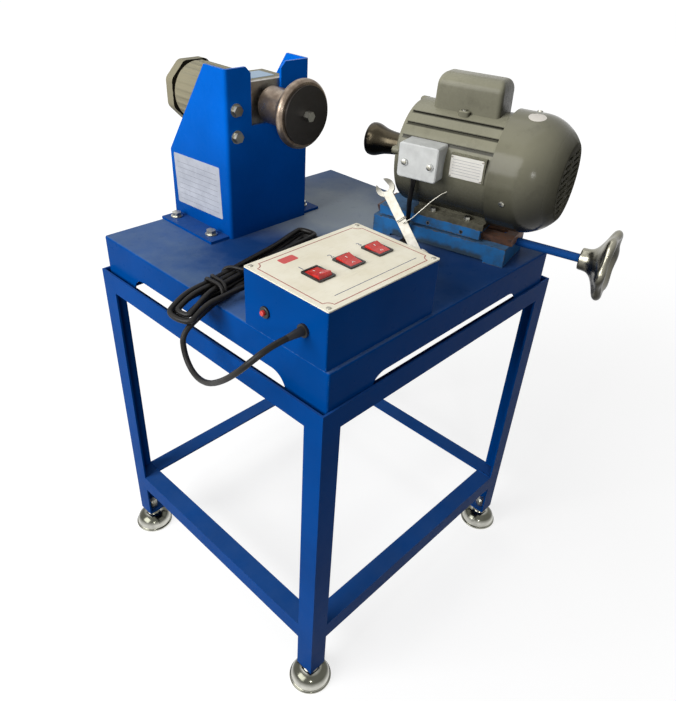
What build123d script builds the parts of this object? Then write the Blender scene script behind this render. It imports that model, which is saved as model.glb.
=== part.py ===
from build123d import *
import math
import os

os.makedirs("parts", exist_ok=True)

# Blade sharpening machine: a slow blade headstock and a grinding motor on a skewed hand-screw slide.
# Lengths are in millimetres. X runs to the operator's right, Y away from the operator, Z up.
# The origin lies on the floor under the middle of the stand.

# Gaps that fits, seats and loose neighbours share
running_fit = 0.05
seat_fit = 0.02
sliding_gap = 0.1
loose_gap = 0.3
hole_gap = 0.4

# Welded stand of angle iron
stand_width = 500.0
stand_depth = 468.0
table_height = 600.0
angle_leg = 30.0
angle_wall = 3.0
leg_bottom = 36.5
rail_height = 133.0

# Levelling feet
foot_radius = 33.0
foot_height = 31.5
foot_rim_height = 5.0
foot_neck_radius = 12.0
foot_waist_radius = 24.4
foot_waist_height = 20.2
foot_inset = 14.5
foot_plate_wall = 4.0
stud_radius = 5.0
stud_seat_depth = 12.0
stud_nut_radius = 9.8
stud_nut_height = 8.0
stud_tail = 7.0

# Folded sheet pan
pan_width = 470.0
pan_depth = 460.0
pan_height = 79.0
pan_wall = 2.0
pan_bend = 3.0
pan_offset = -5.0
pan_notch_length = 324.0
pan_notch_top = 40.0
pan_notch_radius = 25.0

# Control box on the operator's left front corner of the pan
box_width = 188.0
box_depth = 135.0
box_height = 75.0
box_wall = 1.5
box_bend = 2.0
box_lip = 12.0
box_front_inset = 5.0
panel_wall = 1.5

# Rocker switches
bezel_width = 25.5
bezel_length = 31.0
bezel_rise = 2.0
bezel_corner = 1.5
switch_wall_side = 1.0
switch_wall_end = 1.0
switch_depth = 22.0
switch_floor = 2.0
switch_pitch = 49.5
switch_x = 4.7
switch_y = -2.5
rocker_width = 19.6
rocker_swing = 12.8
rocker_edge = 6.8
rocker_valley = 6.0
rocker_skirt = 4.0
rocker_pivot_drop = 3.0
rocker_pin_radius = 1.5
rocker_pin_reach = 0.9
rocker_tilt = 11.0

# Overload reset button and cord gland on the left wall of the box
reset_y = 30.0
reset_z = 31.5
reset_bezel_radius = 7.5
reset_bezel_wall = 3.0
reset_barrel_radius = 5.5
reset_barrel_length = 20.0
reset_button_radius = 3.4
reset_button_rise = 3.5
reset_button_length = 14.0
gland_y = -32.7
gland_z = 37.5
gland_flange_radius = 8.0
gland_flange_wall = 3.0
gland_barrel_radius = 6.0
gland_barrel_length = 14.0
gland_sleeve_length = 22.0
gland_sleeve_radius = 5.6

# Headstock bracket, bent from one sheet
bracket_x = -29.0
bracket_front = 101.0
bracket_depth = 139.0
bracket_height = 234.0
bracket_wall = 4.0
bracket_bend = 5.0
bracket_shoulder = 100.0
bracket_top_depth = 44.0
bracket_flange = 33.0
bracket_flange_inset = 10.0
horn_notch_width = 54.0
horn_notch_bottom = 157.0
horn_notch_shift = -5.0
horn_chamfer = 8.0
bracket_bolt_reach = 16.0
bracket_bolt_front = 27.0
bracket_bolt_rear = 114.0
bolt_radius = 4.0
bolt_head_radius = 7.4
bolt_head_height = 5.5
bolt_washer_radius = 9.0
bolt_washer_wall = 1.6
bolt_nut_height = 6.5

# Gear motor and its carrier plate
spindle_x = -27.0
spindle_height = 181.5
gear_height = 168.0
carrier_height = 90.0
carrier_wall = 8.0
carrier_bolt_span = 117.0
carrier_bolt_edge = 10.5
carrier_side_gap = 2.0
carrier_width = carrier_bolt_span + 2 * carrier_bolt_edge
bracket_width = carrier_width + 2 * (carrier_side_gap + bracket_wall)
carrier_bolt_low = 146.6
carrier_bolt_high = 181.7
gearbox_size = 90.0
gearbox_depth = 50.0
gearbox_corner = 8.0
gear_motor_radius = 43.0
gear_motor_length = 105.0
gear_motor_neck_radius = 40.0
gear_motor_neck = 4.0
gear_cover_size = 88.0
gear_cover_corner = 24.0
gear_cover_corner_round = 12.0
gear_cover_length = 20.0
gear_cover_round = 6.0
gear_cover_slots = 12

# Blade spindle, flange and clamp disc
spindle_radius = 10.0
spindle_bore_depth = 42.0
spindle_nose = 66.0
hub_radius = 25.0
hub_rear = 98.0
hub_front = 64.0
flange_radius = 46.0
flange_rear = 43.0
flange_front = 31.0
flange_edge_round = 4.5
flange_edge_radius = 6.6
clamp_radius = 38.0
clamp_wall = 4.0
clamp_chamfer = 1.2
flange_screw_radius = 4.0
flange_screw_reach = 24.0
flange_screw_head_radius = 6.9
flange_screw_head_height = 8.0

# Skewed slide: u runs across it, v along it, both from the middle of the pan
slide_angle = 12.5
slide_u = 120.0
base_width = 82.0
base_length = 210.0
base_front = -238.0
base_height = 27.5
base_foot_length = 30.0
base_relief = 4.0
channel_width = 24.0
channel_floor = 8.0
channel_end_wall = 12.0
bar_top_width = 64.0
bar_height = 12.5
bar_overhang = 3.0
dovetail_angle = 30.0
saddle_length = 160.0
saddle_front = -197.0
saddle_lift = 4.0
saddle_height = 14.0
gib_wall = 4.0
gib_margin = 2.0
gib_screw_radius = 3.0
gib_screw_rise = 8.0
gib_screw_pitch = 52.0

# Lead screw, its nut and the handwheel
screw_radius = 6.0
screw_journal_radius = 5.0
screw_tail_radius = 4.0
screw_collar_radius = 8.5
screw_collar_wall = 5.0
nut_width = 18.0
nut_length = 30.0
nut_drop = 10.0
wheel_hub_rear = -331.0
wheel_hub_length = 20.0
wheel_hub_radius = 12.0
wheel_radius = 52.0
wheel_rim_section = 8.5
wheel_rim_v = -366.0
wheel_rim_tuck = 6.4
wheel_web_wall = 6.0
wheel_lobes = 6
wheel_lobe_cut = 4.0
wheel_lobe_radius = 26.0

# Grinding motor
motor_height = 126.0
motor_radius = 72.0
motor_front = -205.0
motor_rear = -72.0
motor_bore_radius = 60.0
motor_end_wall = 10.0
motor_groove_width = 3.0
motor_groove_depth = 2.0
motor_groove_step = 15.0
motor_groove_start = 32.0
motor_groove_count = 3
motor_foot_width = 19.0
motor_foot_wall = 9.0
motor_foot_front = -200.0
motor_foot_length = 107.0
motor_foot_web = 8.0
motor_bolt_inset = 6.5
motor_bolt_pitch = 53.0
motor_bolt_radius = 2.5
motor_bolt_head_radius = 5.2
motor_bolt_head_height = 4.5
motor_bolt_grip = 4.5
pad_reach = 73.5
pad_height = 32.0
pad_length = 49.0
pad_front = -199.0
pad_rise = 12.0
stator_bore_radius = 46.0
stator_length = 90.0
rotor_gap = 0.5
bearing_radius = 20.0
bearing_wall = 8.0
bell_radius = 70.0
bell_rim = 6.0
bell_depth = 12.0
bell_hub_radius = 32.0
bell_shoulder = 66.0
bell_spigot_inner = 52.0
bell_lug_radius = 6.0
bell_lug_inset = 3.5
bell_lug_rise = 2.5
bell_bolt_radius = 5.0
bell_lug_angle = 79.0
bell_lug_count = 4
shaft_radius = 9.5
shaft_rear = -30.0
shaft_front = -272.0

# Fan cover, fan and arbor
cover_radius = 79.0
cover_wall = 1.5
cover_seat = 10.0
cover_shoulder = -238.0
cover_end = -290.0
cover_flat_radius = 50.0
cover_end_round = 6.0
slot_width = 4.0
slot_pitch = 9.0
slot_circle = 45.0
slot_rows = 9
slot_column_gap = 6.0
fan_hub_radius = 16.0
fan_radius = 60.0
fan_front = -262.0
fan_length = 24.0
fan_plate = 2.0
fan_blades = 6
fan_blade_wall = 2.5
fan_blade_length = 46.0
arbor_neck_radius = 15.5
arbor_rim_radius = 24.0
arbor_rear = 10.0
arbor_rim_wall = 7.0
arbor_clearance = 1.5
arbor_edge_round = 1.5
arbor_thread_radius = 5.0
arbor_thread_depth = 26.0

# Capacitor housing and terminal box on the grinding motor
cap_width = 50.0
cap_length = 95.0
cap_front = -190.0
cap_top = 239.0
cap_round = 17.0
cap_lug = 8.0
cap_lug_length = 16.0
cap_lug_wall = 4.0
terminal_length = 57.0
terminal_front = -141.0
terminal_low = 115.0
terminal_high = 161.0
terminal_reach = 91.0
terminal_wall = 2.5
terminal_lid_wall = 4.0
terminal_round = 4.0
lid_bevel = 1.5
lid_boss_along = 18.5
lid_boss_drop = 2.0
lid_boss_radius = 5.0
lid_boss_rise = 2.0

# Flexible leads
cord_diameter = 7.2
lead_diameter = 7.0
lead_hole_radius = 5.0
corner_share = 0.45
cord_exit_run = 20.0
cord_last_run = 21.0
cord_fall_run = 39.0

# Mains plug
plug_neck_radius = 5.5
plug_neck = 16.0
plug_body = 30.0
plug_round = 1.0
plug_pin_radius = 2.4
plug_pin_length = 19.0
plug_pin_pitch = 13.0

# Hank of spare cord lying on the pan
hank_x = -149.0
hank_y = 0.0
hank_angle = 11.0
hank_half_run = 122.0
hank_waist_half = 68.0
hank_inner_bight = 10.0
hank_step = 8.8
hank_layer = 8.6
hank_entry = 66.0
hank_entry_side = 17.6
hank_entry_ease = 20.0
hank_lip = 88.0
hank_fall_angle = 26.0
hank_plug_along = 10.0
hank_plug_side = 39.0

# Open-ended spanner tied to the grinding motor
spanner_foot_u = 10.0
spanner_foot_v = -141.0
spanner_lean = (42.0, 83.0, 68.0)
spanner_normal = (-0.80, -0.08, 0.59)
spanner_span = 118.0
spanner_shank_width = 13.0
spanner_wall = 5.0
spanner_head_radius = 13.5
spanner_jaw = 12.5
spanner_jaw_angle = 15.0
spanner_lift = 0.4


# Frames: the pan's top, the skewed slide on it and the control box in its corner
pan_frame = Plane(origin=(pan_offset, 0, table_height))
skew = math.radians(slide_angle)
slide_frame = Plane(origin=pan_frame.origin, x_dir=(math.cos(skew), math.sin(skew), 0), z_dir=(0, 0, 1))
box_x = -pan_width / 2 + box_width / 2
box_y = -pan_depth / 2 + box_front_inset + box_depth / 2
box_frame = Plane(origin=pan_frame.from_local_coords((box_x, box_y, 0)))


def lengthwise(frame, across, along=0, up=0):
    """Upright plane along a frame's y: its own x follows that y, its y points up, it faces the frame's x."""
    return Plane(frame.from_local_coords((across, along, up)), x_dir=frame.y_dir, z_dir=frame.x_dir)


def crosswise(frame, along, across=0, up=0):
    """Upright plane across a frame: its x follows the frame's x, its y points up, it faces the operator."""
    return Plane(frame.from_local_coords((across, along, up)), x_dir=frame.x_dir, z_dir=-frame.y_dir)


def radial(frame, across, up):
    """Half plane for turned pieces: its x follows the frame's y, its y is the radius, with its axis."""
    plane = lengthwise(frame, across, 0, up)
    return plane, Axis(plane.origin, plane.x_dir)


# Top ring: four mitred angles, welded, that carry the pan on their inward flange
ring_bottom = table_height - pan_height - angle_wall
with BuildPart() as top_ring:
    with BuildSketch(Plane.XY.offset(ring_bottom)):
        Rectangle(stand_width, stand_depth)
        Rectangle(stand_width - 2 * angle_leg, stand_depth - 2 * angle_leg, mode=Mode.SUBTRACT)
    extrude(amount=angle_wall)
    with BuildSketch(Plane.XY.offset(ring_bottom)):
        Rectangle(stand_width, stand_depth)
        Rectangle(stand_width - 2 * angle_wall, stand_depth - 2 * angle_wall, mode=Mode.SUBTRACT)
    extrude(amount=angle_leg)
top_ring.part.label = "top_ring"
export_step(top_ring.part, "parts/top_ring.step")

# Legs with a welded foot plate, and a bell foot under each
foot_spots = []
for side_y, depth_word in ((-1, "front"), (1, "back")):
    for side_x, width_word in ((-1, "left"), (1, "right")):
        corner = (side_x * stand_width / 2, side_y * stand_depth / 2)
        inward = (Align.MAX if side_x > 0 else Align.MIN, Align.MAX if side_y > 0 else Align.MIN)
        foot_spot = (corner[0] - side_x * foot_inset, corner[1] - side_y * foot_inset)
        foot_spots.append(foot_spot)

        with BuildPart() as leg:
            with BuildSketch(Plane.XY.offset(leg_bottom)):
                with Locations(corner):
                    Rectangle(angle_leg, angle_wall, align=inward)
                    Rectangle(angle_wall, angle_leg, align=inward)
            extrude(amount=ring_bottom - leg_bottom)
            with BuildSketch(Plane.XY.offset(leg_bottom)):
                with Locations(corner):
                    Rectangle(angle_leg, angle_leg, align=inward)
                with Locations(foot_spot):
                    Circle(stud_radius + hole_gap, mode=Mode.SUBTRACT)
            extrude(amount=foot_plate_wall)
        leg.part.label = f"leg_{depth_word}_{width_word}"
        export_step(leg.part, f"parts/leg_{depth_word}_{width_word}.step")

        foot_plane = Plane(origin=(*foot_spot, 0), x_dir=(1, 0, 0), z_dir=(0, -1, 0))
        with BuildPart() as foot:
            with BuildSketch(foot_plane):
                with BuildLine():
                    rim_in = foot_radius - foot_rim_height / 2
                    bell_top = foot_height - foot_rim_height
                    Polyline((stud_radius + running_fit, 0), (rim_in, 0))
                    ThreePointArc((rim_in, 0), (foot_radius, foot_rim_height / 2), (rim_in, foot_rim_height))
                    waist = (foot_waist_radius, foot_waist_height)
                    ThreePointArc((rim_in, foot_rim_height), waist, (foot_neck_radius, bell_top))
                    Polyline(
                        (foot_neck_radius, bell_top),
                        (foot_neck_radius, foot_height),
                        (stud_radius + running_fit, foot_height),
                        (stud_radius + running_fit, 0),
                    )
                make_face()
            revolve(axis=Axis((*foot_spot, 0), (0, 0, 1)))
            with BuildSketch(Plane.XY):
                with Locations(foot_spot):
                    Circle(stud_radius + 2 * running_fit)
            extrude(amount=foot_height - stud_seat_depth)
        foot.part.label = f"foot_{depth_word}_{width_word}"
        export_step(foot.part, f"parts/foot_{depth_word}_{width_word}.step")

# Threaded studs with a jam nut under each foot plate and a nut on it
plate_top = leg_bottom + foot_plate_wall
with BuildPart() as foot_studs:
    with BuildSketch(Plane.XY.offset(foot_height - stud_seat_depth)):
        with Locations(*foot_spots):
            Circle(stud_radius)
    extrude(amount=plate_top + stud_nut_height + stud_tail - foot_height + stud_seat_depth)
    with BuildSketch(Plane.XY.offset(foot_height)):
        with Locations(*foot_spots):
            RegularPolygon(stud_nut_radius, 6)
    extrude(amount=leg_bottom - foot_height)
    with BuildSketch(Plane.XY.offset(plate_top)):
        with Locations(*foot_spots):
            RegularPolygon(stud_nut_radius, 6)
    extrude(amount=stud_nut_height)
foot_studs.part.label = "foot_studs"
export_step(foot_studs.part, "parts/foot_studs.step")

# Lower rails between the legs, flush outside, with the level flange on top
span_x = stand_width - 2 * angle_leg
span_y = stand_depth - 2 * angle_leg
for side, word in ((-1, "front"), (1, "back")):
    edge = Align.MAX if side > 0 else Align.MIN
    with BuildPart() as rail:
        with BuildSketch(Plane.YZ.offset(-span_x / 2)):
            with Locations((side * stand_depth / 2, rail_height)):
                Rectangle(angle_leg, angle_wall, align=(edge, Align.MAX))
                Rectangle(angle_wall, angle_leg, align=(edge, Align.MAX))
        extrude(amount=span_x)
    rail.part.label = f"lower_rail_{word}"
    export_step(rail.part, f"parts/lower_rail_{word}.step")
for side, word in ((-1, "left"), (1, "right")):
    edge = Align.MAX if side > 0 else Align.MIN
    with BuildPart() as rail:
        with BuildSketch(Plane.XZ.offset(-span_y / 2)):
            with Locations((side * stand_width / 2, rail_height)):
                Rectangle(angle_leg, angle_wall, align=(edge, Align.MAX))
                Rectangle(angle_wall, angle_leg, align=(edge, Align.MAX))
        extrude(amount=span_y)
        flange_reach = stand_depth / 2 - angle_wall
        with BuildSketch(Plane.XZ.offset(-flange_reach)):
            with Locations((side * (stand_width / 2 - angle_wall), rail_height)):
                Rectangle(angle_leg - angle_wall, angle_wall, align=(edge, Align.MAX))
        extrude(amount=2 * flange_reach)
    rail.part.label = f"lower_rail_{word}"
    export_step(rail.part, f"parts/lower_rail_{word}.step")

# Pan: a folded tray with a long round-cornered notch in each skirt
bracket_bolt_x = bracket_width / 2 + bracket_bolt_reach
bracket_bolts_at = [
    (bracket_x + side * bracket_bolt_x, bracket_front + along)
    for side in (-1, 1)
    for along in (bracket_bolt_front, bracket_bolt_rear)
]
# The motor lead: out of the terminal box, down beside the slide and through the pan
lead_route = [
    (44.0, -102.0, terminal_low),
    (44.0, -102.0, 103.0),
    (48.5, -98.5, 88.0),
    (56.0, -94.0, 70.0),
    (66.0, -91.0, 50.0),
    (72.0, -87.5, 24.0),
    (73.5, -86.0, -pan_wall),
]
lead_hole = pan_frame.to_local_coords(slide_frame.from_local_coords(Vector(*lead_route[-1])))
with BuildPart() as pan:
    with BuildSketch(pan_frame):
        Rectangle(pan_width, pan_depth)
    extrude(amount=-pan_height)
    fillet(pan.edges().filter_by(Axis.Z), radius=pan_bend)
    fillet(pan.faces().sort_by(Axis.Z)[-1].edges(), radius=pan_bend)
    offset(amount=-pan_wall, openings=pan.faces().sort_by(Axis.Z)[0])
    for notch_plane, reach in ((lengthwise(pan_frame, 0), pan_width), (crosswise(pan_frame, 0), pan_depth)):
        with BuildSketch(notch_plane) as notch:
            with Locations((0, -pan_notch_top)):
                Rectangle(pan_notch_length, pan_height, align=(Align.CENTER, Align.MAX))
            fillet(notch.vertices().group_by(Axis.Y)[-1], radius=pan_notch_radius)
        extrude(amount=reach, both=True, mode=Mode.SUBTRACT)
    with BuildSketch(pan_frame):
        with Locations(*bracket_bolts_at):
            Circle(bolt_radius + hole_gap)
        with Locations((lead_hole.X, lead_hole.Y)):
            Circle(lead_hole_radius)
    extrude(amount=-2 * pan_wall, mode=Mode.SUBTRACT)
pan.part.label = "pan"
export_step(pan.part, "parts/pan.step")

# Control box: a sheet hood, open below, with a lip that carries the panel
box_top = box_height - panel_wall
with BuildPart() as control_box:
    with BuildSketch(box_frame):
        Rectangle(box_width, box_depth)
    extrude(amount=box_top)
    fillet(control_box.edges().filter_by(Axis.Z), radius=box_bend)
    with BuildSketch(box_frame):
        Rectangle(box_width - 2 * box_wall, box_depth - 2 * box_wall)
    extrude(amount=box_top - box_wall, mode=Mode.SUBTRACT)
    with BuildSketch(box_frame):
        Rectangle(box_width - 2 * box_lip, box_depth - 2 * box_lip)
    extrude(amount=box_top, mode=Mode.SUBTRACT)
    with BuildSketch(lengthwise(box_frame, -box_width / 2)):
        with Locations((reset_y, reset_z)):
            Circle(reset_barrel_radius + running_fit)
        with Locations((gland_y, gland_z)):
            Circle(gland_barrel_radius + running_fit)
    extrude(amount=2 * box_wall, mode=Mode.SUBTRACT)
control_box.part.label = "control_box"
export_step(control_box.part, "parts/control_box.step")

# Front panel over the whole top of the box
switch_spots = [(switch_x + place * switch_pitch, switch_y) for place in (-1, 0, 1)]
cavity_width = rocker_width + 2 * loose_gap
cavity_length = 2 * (rocker_swing + loose_gap)
switch_body_width = cavity_width + 2 * switch_wall_side
switch_body_length = cavity_length + 2 * switch_wall_end
with BuildPart() as control_panel:
    with BuildSketch(box_frame.offset(box_top)):
        RectangleRounded(box_width, box_depth, box_bend)
        with Locations(*switch_spots):
            Rectangle(switch_body_width + 2 * seat_fit, switch_body_length + 2 * seat_fit, mode=Mode.SUBTRACT)
    extrude(amount=panel_wall)
control_panel.part.label = "control_panel"
export_step(control_panel.part, "parts/control_panel.step")

# Switch housings: a bezel on the panel and a body with the rocker's well and pivot holes
pivot_height = box_height - rocker_pivot_drop
with BuildPart() as rocker_housings:
    with BuildSketch(box_frame.offset(box_height)):
        with Locations(*switch_spots):
            RectangleRounded(bezel_width, bezel_length, bezel_corner)
    extrude(amount=bezel_rise)
    with BuildSketch(box_frame.offset(box_height)):
        with Locations(*switch_spots):
            Rectangle(switch_body_width, switch_body_length)
    extrude(amount=-switch_depth)
    with BuildSketch(box_frame.offset(box_height + bezel_rise)):
        with Locations(*switch_spots):
            Rectangle(cavity_width, cavity_length)
    extrude(amount=-(bezel_rise + switch_depth - switch_floor), mode=Mode.SUBTRACT)
    for spot_x, spot_y in switch_spots:
        with BuildSketch(lengthwise(box_frame, spot_x, spot_y, pivot_height)):
            Circle(rocker_pin_radius + running_fit)
        extrude(amount=bezel_width, both=True, mode=Mode.SUBTRACT)
rocker_housings.part.label = "rocker_housings"
export_step(rocker_housings.part, "parts/rocker_housings.step")

# Rockers: the first is tipped the other way from its two neighbours
rocker_tilts = (("left", -rocker_tilt), ("middle", rocker_tilt), ("right", rocker_tilt))
for (spot_x, spot_y), (word, tilt) in zip(switch_spots, rocker_tilts):
    tipped = (0, math.cos(math.radians(tilt)), math.sin(math.radians(tilt)))
    pivot = box_frame.from_local_coords((spot_x, spot_y, pivot_height))
    rocker_plane = Plane(pivot, x_dir=tipped, z_dir=box_frame.x_dir)
    edge_out = math.sqrt(rocker_swing**2 - rocker_edge**2)
    skirt_out = math.sqrt(rocker_swing**2 - rocker_skirt**2)
    with BuildPart() as rocker:
        with BuildSketch(rocker_plane):
            with BuildLine():
                Polyline((-edge_out, rocker_edge), (0, rocker_valley), (edge_out, rocker_edge))
                ThreePointArc((edge_out, rocker_edge), (rocker_swing, 0), (skirt_out, -rocker_skirt))
                Line((skirt_out, -rocker_skirt), (-skirt_out, -rocker_skirt))
                ThreePointArc((-skirt_out, -rocker_skirt), (-rocker_swing, 0), (-edge_out, rocker_edge))
            make_face()
        extrude(amount=rocker_width / 2, both=True)
        with BuildSketch(rocker_plane):
            Circle(rocker_pin_radius)
        extrude(amount=rocker_width / 2 + rocker_pin_reach, both=True)
    rocker.part.label = f"rocker_{word}"
    export_step(rocker.part, f"parts/rocker_{word}.step")

# Overload reset: a bezel and barrel in the box wall, with a push button in its bore
reset_plane = Plane(box_frame.from_local_coords((-box_width / 2, reset_y, reset_z)), z_dir=(-1, 0, 0))
with BuildPart() as reset_housing:
    with BuildSketch(reset_plane):
        Circle(reset_bezel_radius)
    extrude(amount=reset_bezel_wall)
    fillet(reset_housing.faces().sort_by(Axis.X)[0].edges(), radius=reset_bezel_wall / 2)
    with BuildSketch(reset_plane):
        Circle(reset_barrel_radius)
    extrude(amount=-reset_barrel_length)
    with BuildSketch(reset_plane.offset(reset_bezel_wall)):
        Circle(reset_button_radius + running_fit)
    extrude(amount=-(reset_bezel_wall + reset_barrel_length - box_wall), mode=Mode.SUBTRACT)
reset_housing.part.label = "reset_housing"
export_step(reset_housing.part, "parts/reset_housing.step")

with BuildPart() as reset_button:
    with BuildSketch(reset_plane.offset(reset_bezel_wall + reset_button_rise)):
        Circle(reset_button_radius)
    extrude(amount=-reset_button_length)
    fillet(reset_button.faces().sort_by(Axis.X)[0].edges(), radius=reset_button_radius / 3)
reset_button.part.label = "reset_button"
export_step(reset_button.part, "parts/reset_button.step")

# Cord gland with a tapered strain-relief sleeve
cord_radius = cord_diameter / 2
gland_plane = Plane(box_frame.from_local_coords((-box_width / 2, gland_y, gland_z)), z_dir=(-1, 0, 0))
with BuildPart() as cord_gland:
    with BuildSketch(gland_plane):
        Circle(gland_flange_radius)
    extrude(amount=gland_flange_wall)
    with BuildSketch(gland_plane):
        Circle(gland_barrel_radius)
    extrude(amount=-gland_barrel_length)
    with BuildSketch(gland_plane.offset(gland_flange_wall)):
        Circle(gland_sleeve_radius)
    with BuildSketch(gland_plane.offset(gland_flange_wall + gland_sleeve_length)):
        Circle(cord_radius + running_fit)
    loft()
cord_gland.part.label = "cord_gland"
export_step(cord_gland.part, "parts/cord_gland.step")

# Headstock bracket: front plate with two horns, two cheeks and outward base flanges
bracket_plane = Plane(pan_frame.from_local_coords((bracket_x, bracket_front, 0)))
with BuildPart() as headstock_bracket:
    with BuildSketch(bracket_plane):
        Rectangle(bracket_width, bracket_depth, align=(Align.CENTER, Align.MIN))
    extrude(amount=bracket_height)
    fillet(headstock_bracket.edges().filter_by(Axis.Z).group_by(Axis.Y)[0], radius=bracket_bend)
    with BuildSketch(bracket_plane):
        with Locations((0, bracket_wall)):
            Rectangle(bracket_width - 2 * bracket_wall, bracket_depth, align=(Align.CENTER, Align.MIN))
    extrude(amount=bracket_height, mode=Mode.SUBTRACT)
    with BuildSketch(lengthwise(bracket_plane, 0)):
        Polygon(
            (bracket_depth, bracket_shoulder),
            (bracket_depth, bracket_height),
            (bracket_top_depth, bracket_height),
            align=None,
        )
    extrude(amount=bracket_width, both=True, mode=Mode.SUBTRACT)
    with BuildSketch(crosswise(bracket_plane, 0)):
        with Locations((horn_notch_shift, horn_notch_bottom)):
            Rectangle(horn_notch_width, bracket_height, align=(Align.CENTER, Align.MIN))
        with Locations((horn_notch_shift, bracket_height)):
            slanted = (horn_notch_width / 2 + horn_chamfer) * math.sqrt(2)
            Rectangle(slanted, slanted, rotation=45)
    extrude(amount=-bracket_wall, mode=Mode.SUBTRACT)
    for side in (-1, 1):
        with BuildSketch(bracket_plane):
            with Locations((side * bracket_width / 2, bracket_bend)):
                outward = (Align.MIN if side > 0 else Align.MAX, Align.MIN)
                flange_length = bracket_depth - bracket_bend - bracket_flange_inset
                Rectangle(bracket_flange, flange_length, align=outward)
        extrude(amount=bracket_wall)
    with BuildSketch(pan_frame):
        with Locations(*bracket_bolts_at):
            Circle(bolt_radius + hole_gap)
    extrude(amount=bracket_wall, mode=Mode.SUBTRACT)
    carrier_bolts_at = [
        (side * carrier_bolt_span / 2, height)
        for side in (-1, 1)
        for height in (carrier_bolt_low, carrier_bolt_high)
    ]
    with BuildSketch(crosswise(bracket_plane, 0)):
        with Locations(*carrier_bolts_at):
            Circle(bolt_radius + hole_gap)
    extrude(amount=-bracket_wall, mode=Mode.SUBTRACT)
headstock_bracket.part.label = "headstock_bracket"
export_step(headstock_bracket.part, "parts/headstock_bracket.step")

# Hex bolts that hold the bracket to the pan, with washers and nuts
with BuildPart() as bracket_bolts:
    with BuildSketch(pan_frame.offset(bracket_wall)):
        with Locations(*bracket_bolts_at):
            Circle(bolt_washer_radius)
    extrude(amount=bolt_washer_wall)
    with BuildSketch(pan_frame.offset(bracket_wall + bolt_washer_wall)):
        with Locations(*bracket_bolts_at):
            RegularPolygon(bolt_head_radius, 6)
    extrude(amount=bolt_head_height)
    with BuildSketch(pan_frame.offset(bracket_wall)):
        with Locations(*bracket_bolts_at):
            Circle(bolt_radius)
    extrude(amount=-(bracket_wall + pan_wall))
    with BuildSketch(pan_frame.offset(-pan_wall)):
        with Locations(*bracket_bolts_at):
            RegularPolygon(bolt_head_radius, 6)
    extrude(amount=-bolt_nut_height)
bracket_bolts.part.label = "bracket_bolts"
export_step(bracket_bolts.part, "parts/bracket_bolts.step")

# Carrier plate behind the front plate, with the gear motor bolted to it
carrier_plane = crosswise(bracket_plane, bracket_wall + carrier_wall)
spindle_across = spindle_x - bracket_x
with BuildPart() as carrier_plate:
    with BuildSketch(carrier_plane):
        with Locations((0, gear_height)):
            Rectangle(carrier_width, carrier_height)
        with Locations(*carrier_bolts_at):
            Circle(bolt_radius + hole_gap, mode=Mode.SUBTRACT)
        with Locations((spindle_across, spindle_height)):
            Circle(spindle_radius + hole_gap, mode=Mode.SUBTRACT)
    extrude(amount=carrier_wall)
carrier_plate.part.label = "carrier_plate"
export_step(carrier_plate.part, "parts/carrier_plate.step")

with BuildPart() as carrier_bolts:
    with BuildSketch(crosswise(bracket_plane, 0)):
        with Locations(*carrier_bolts_at):
            Circle(bolt_washer_radius)
    extrude(amount=bolt_washer_wall)
    with BuildSketch(crosswise(bracket_plane, -bolt_washer_wall)):
        with Locations(*carrier_bolts_at):
            RegularPolygon(bolt_head_radius, 6)
    extrude(amount=bolt_head_height)
    with BuildSketch(crosswise(bracket_plane, 0)):
        with Locations(*carrier_bolts_at):
            Circle(bolt_radius)
    extrude(amount=-(bracket_wall + carrier_wall))
    with BuildSketch(carrier_plane):
        with Locations(*carrier_bolts_at):
            RegularPolygon(bolt_head_radius, 6)
    extrude(amount=-bolt_nut_height)
carrier_bolts.part.label = "carrier_bolts"
export_step(carrier_bolts.part, "parts/carrier_bolts.step")

# Gearbox with the bore for the blade spindle, then the round motor and its rear cover
gearbox_front = bracket_front + bracket_wall + carrier_wall
gearbox_plane = crosswise(pan_frame, gearbox_front, spindle_x, gear_height)
with BuildPart() as gearbox:
    with BuildSketch(gearbox_plane):
        RectangleRounded(gearbox_size, gearbox_size, gearbox_corner)
        with Locations((0, spindle_height - gear_height)):
            Circle(spindle_radius + running_fit, mode=Mode.SUBTRACT)
    extrude(amount=-spindle_bore_depth)
    with BuildSketch(gearbox_plane.offset(-spindle_bore_depth)):
        RectangleRounded(gearbox_size, gearbox_size, gearbox_corner)
    extrude(amount=-(gearbox_depth - spindle_bore_depth))
gearbox.part.label = "gearbox"
export_step(gearbox.part, "parts/gearbox.step")

gear_motor_plane = gearbox_plane.offset(-gearbox_depth)
with BuildPart() as gear_motor:
    with BuildSketch(gear_motor_plane):
        Circle(gear_motor_radius)
    extrude(amount=-gear_motor_length)
    with BuildSketch(gear_motor_plane.offset(-gear_motor_length)):
        Circle(gear_motor_neck_radius)
    extrude(amount=-gear_motor_neck)
gear_motor.part.label = "gear_motor"
export_step(gear_motor.part, "parts/gear_motor.step")

gear_cover_plane = gear_motor_plane.offset(-(gear_motor_length + gear_motor_neck))
with BuildPart() as gear_motor_cover:
    with BuildSketch(gear_cover_plane) as cover_outline:
        Rectangle(gear_cover_size, gear_cover_size)
        chamfer(cover_outline.vertices(), length=gear_cover_corner)
        fillet(cover_outline.vertices(), radius=gear_cover_corner_round)
    extrude(amount=-gear_cover_length)
    fillet(gear_motor_cover.faces().sort_by(Axis.Y)[-1].edges(), radius=gear_cover_round)
    with BuildSketch(gear_cover_plane.offset(-gear_cover_length)):
        with PolarLocations(gear_cover_size / 4, gear_cover_slots):
            SlotOverall(gear_cover_size / 4, slot_width / 2)
    extrude(amount=slot_width, mode=Mode.SUBTRACT)
gear_motor_cover.part.label = "gear_motor_cover"
export_step(gear_motor_cover.part, "parts/gear_motor_cover.step")

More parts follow.
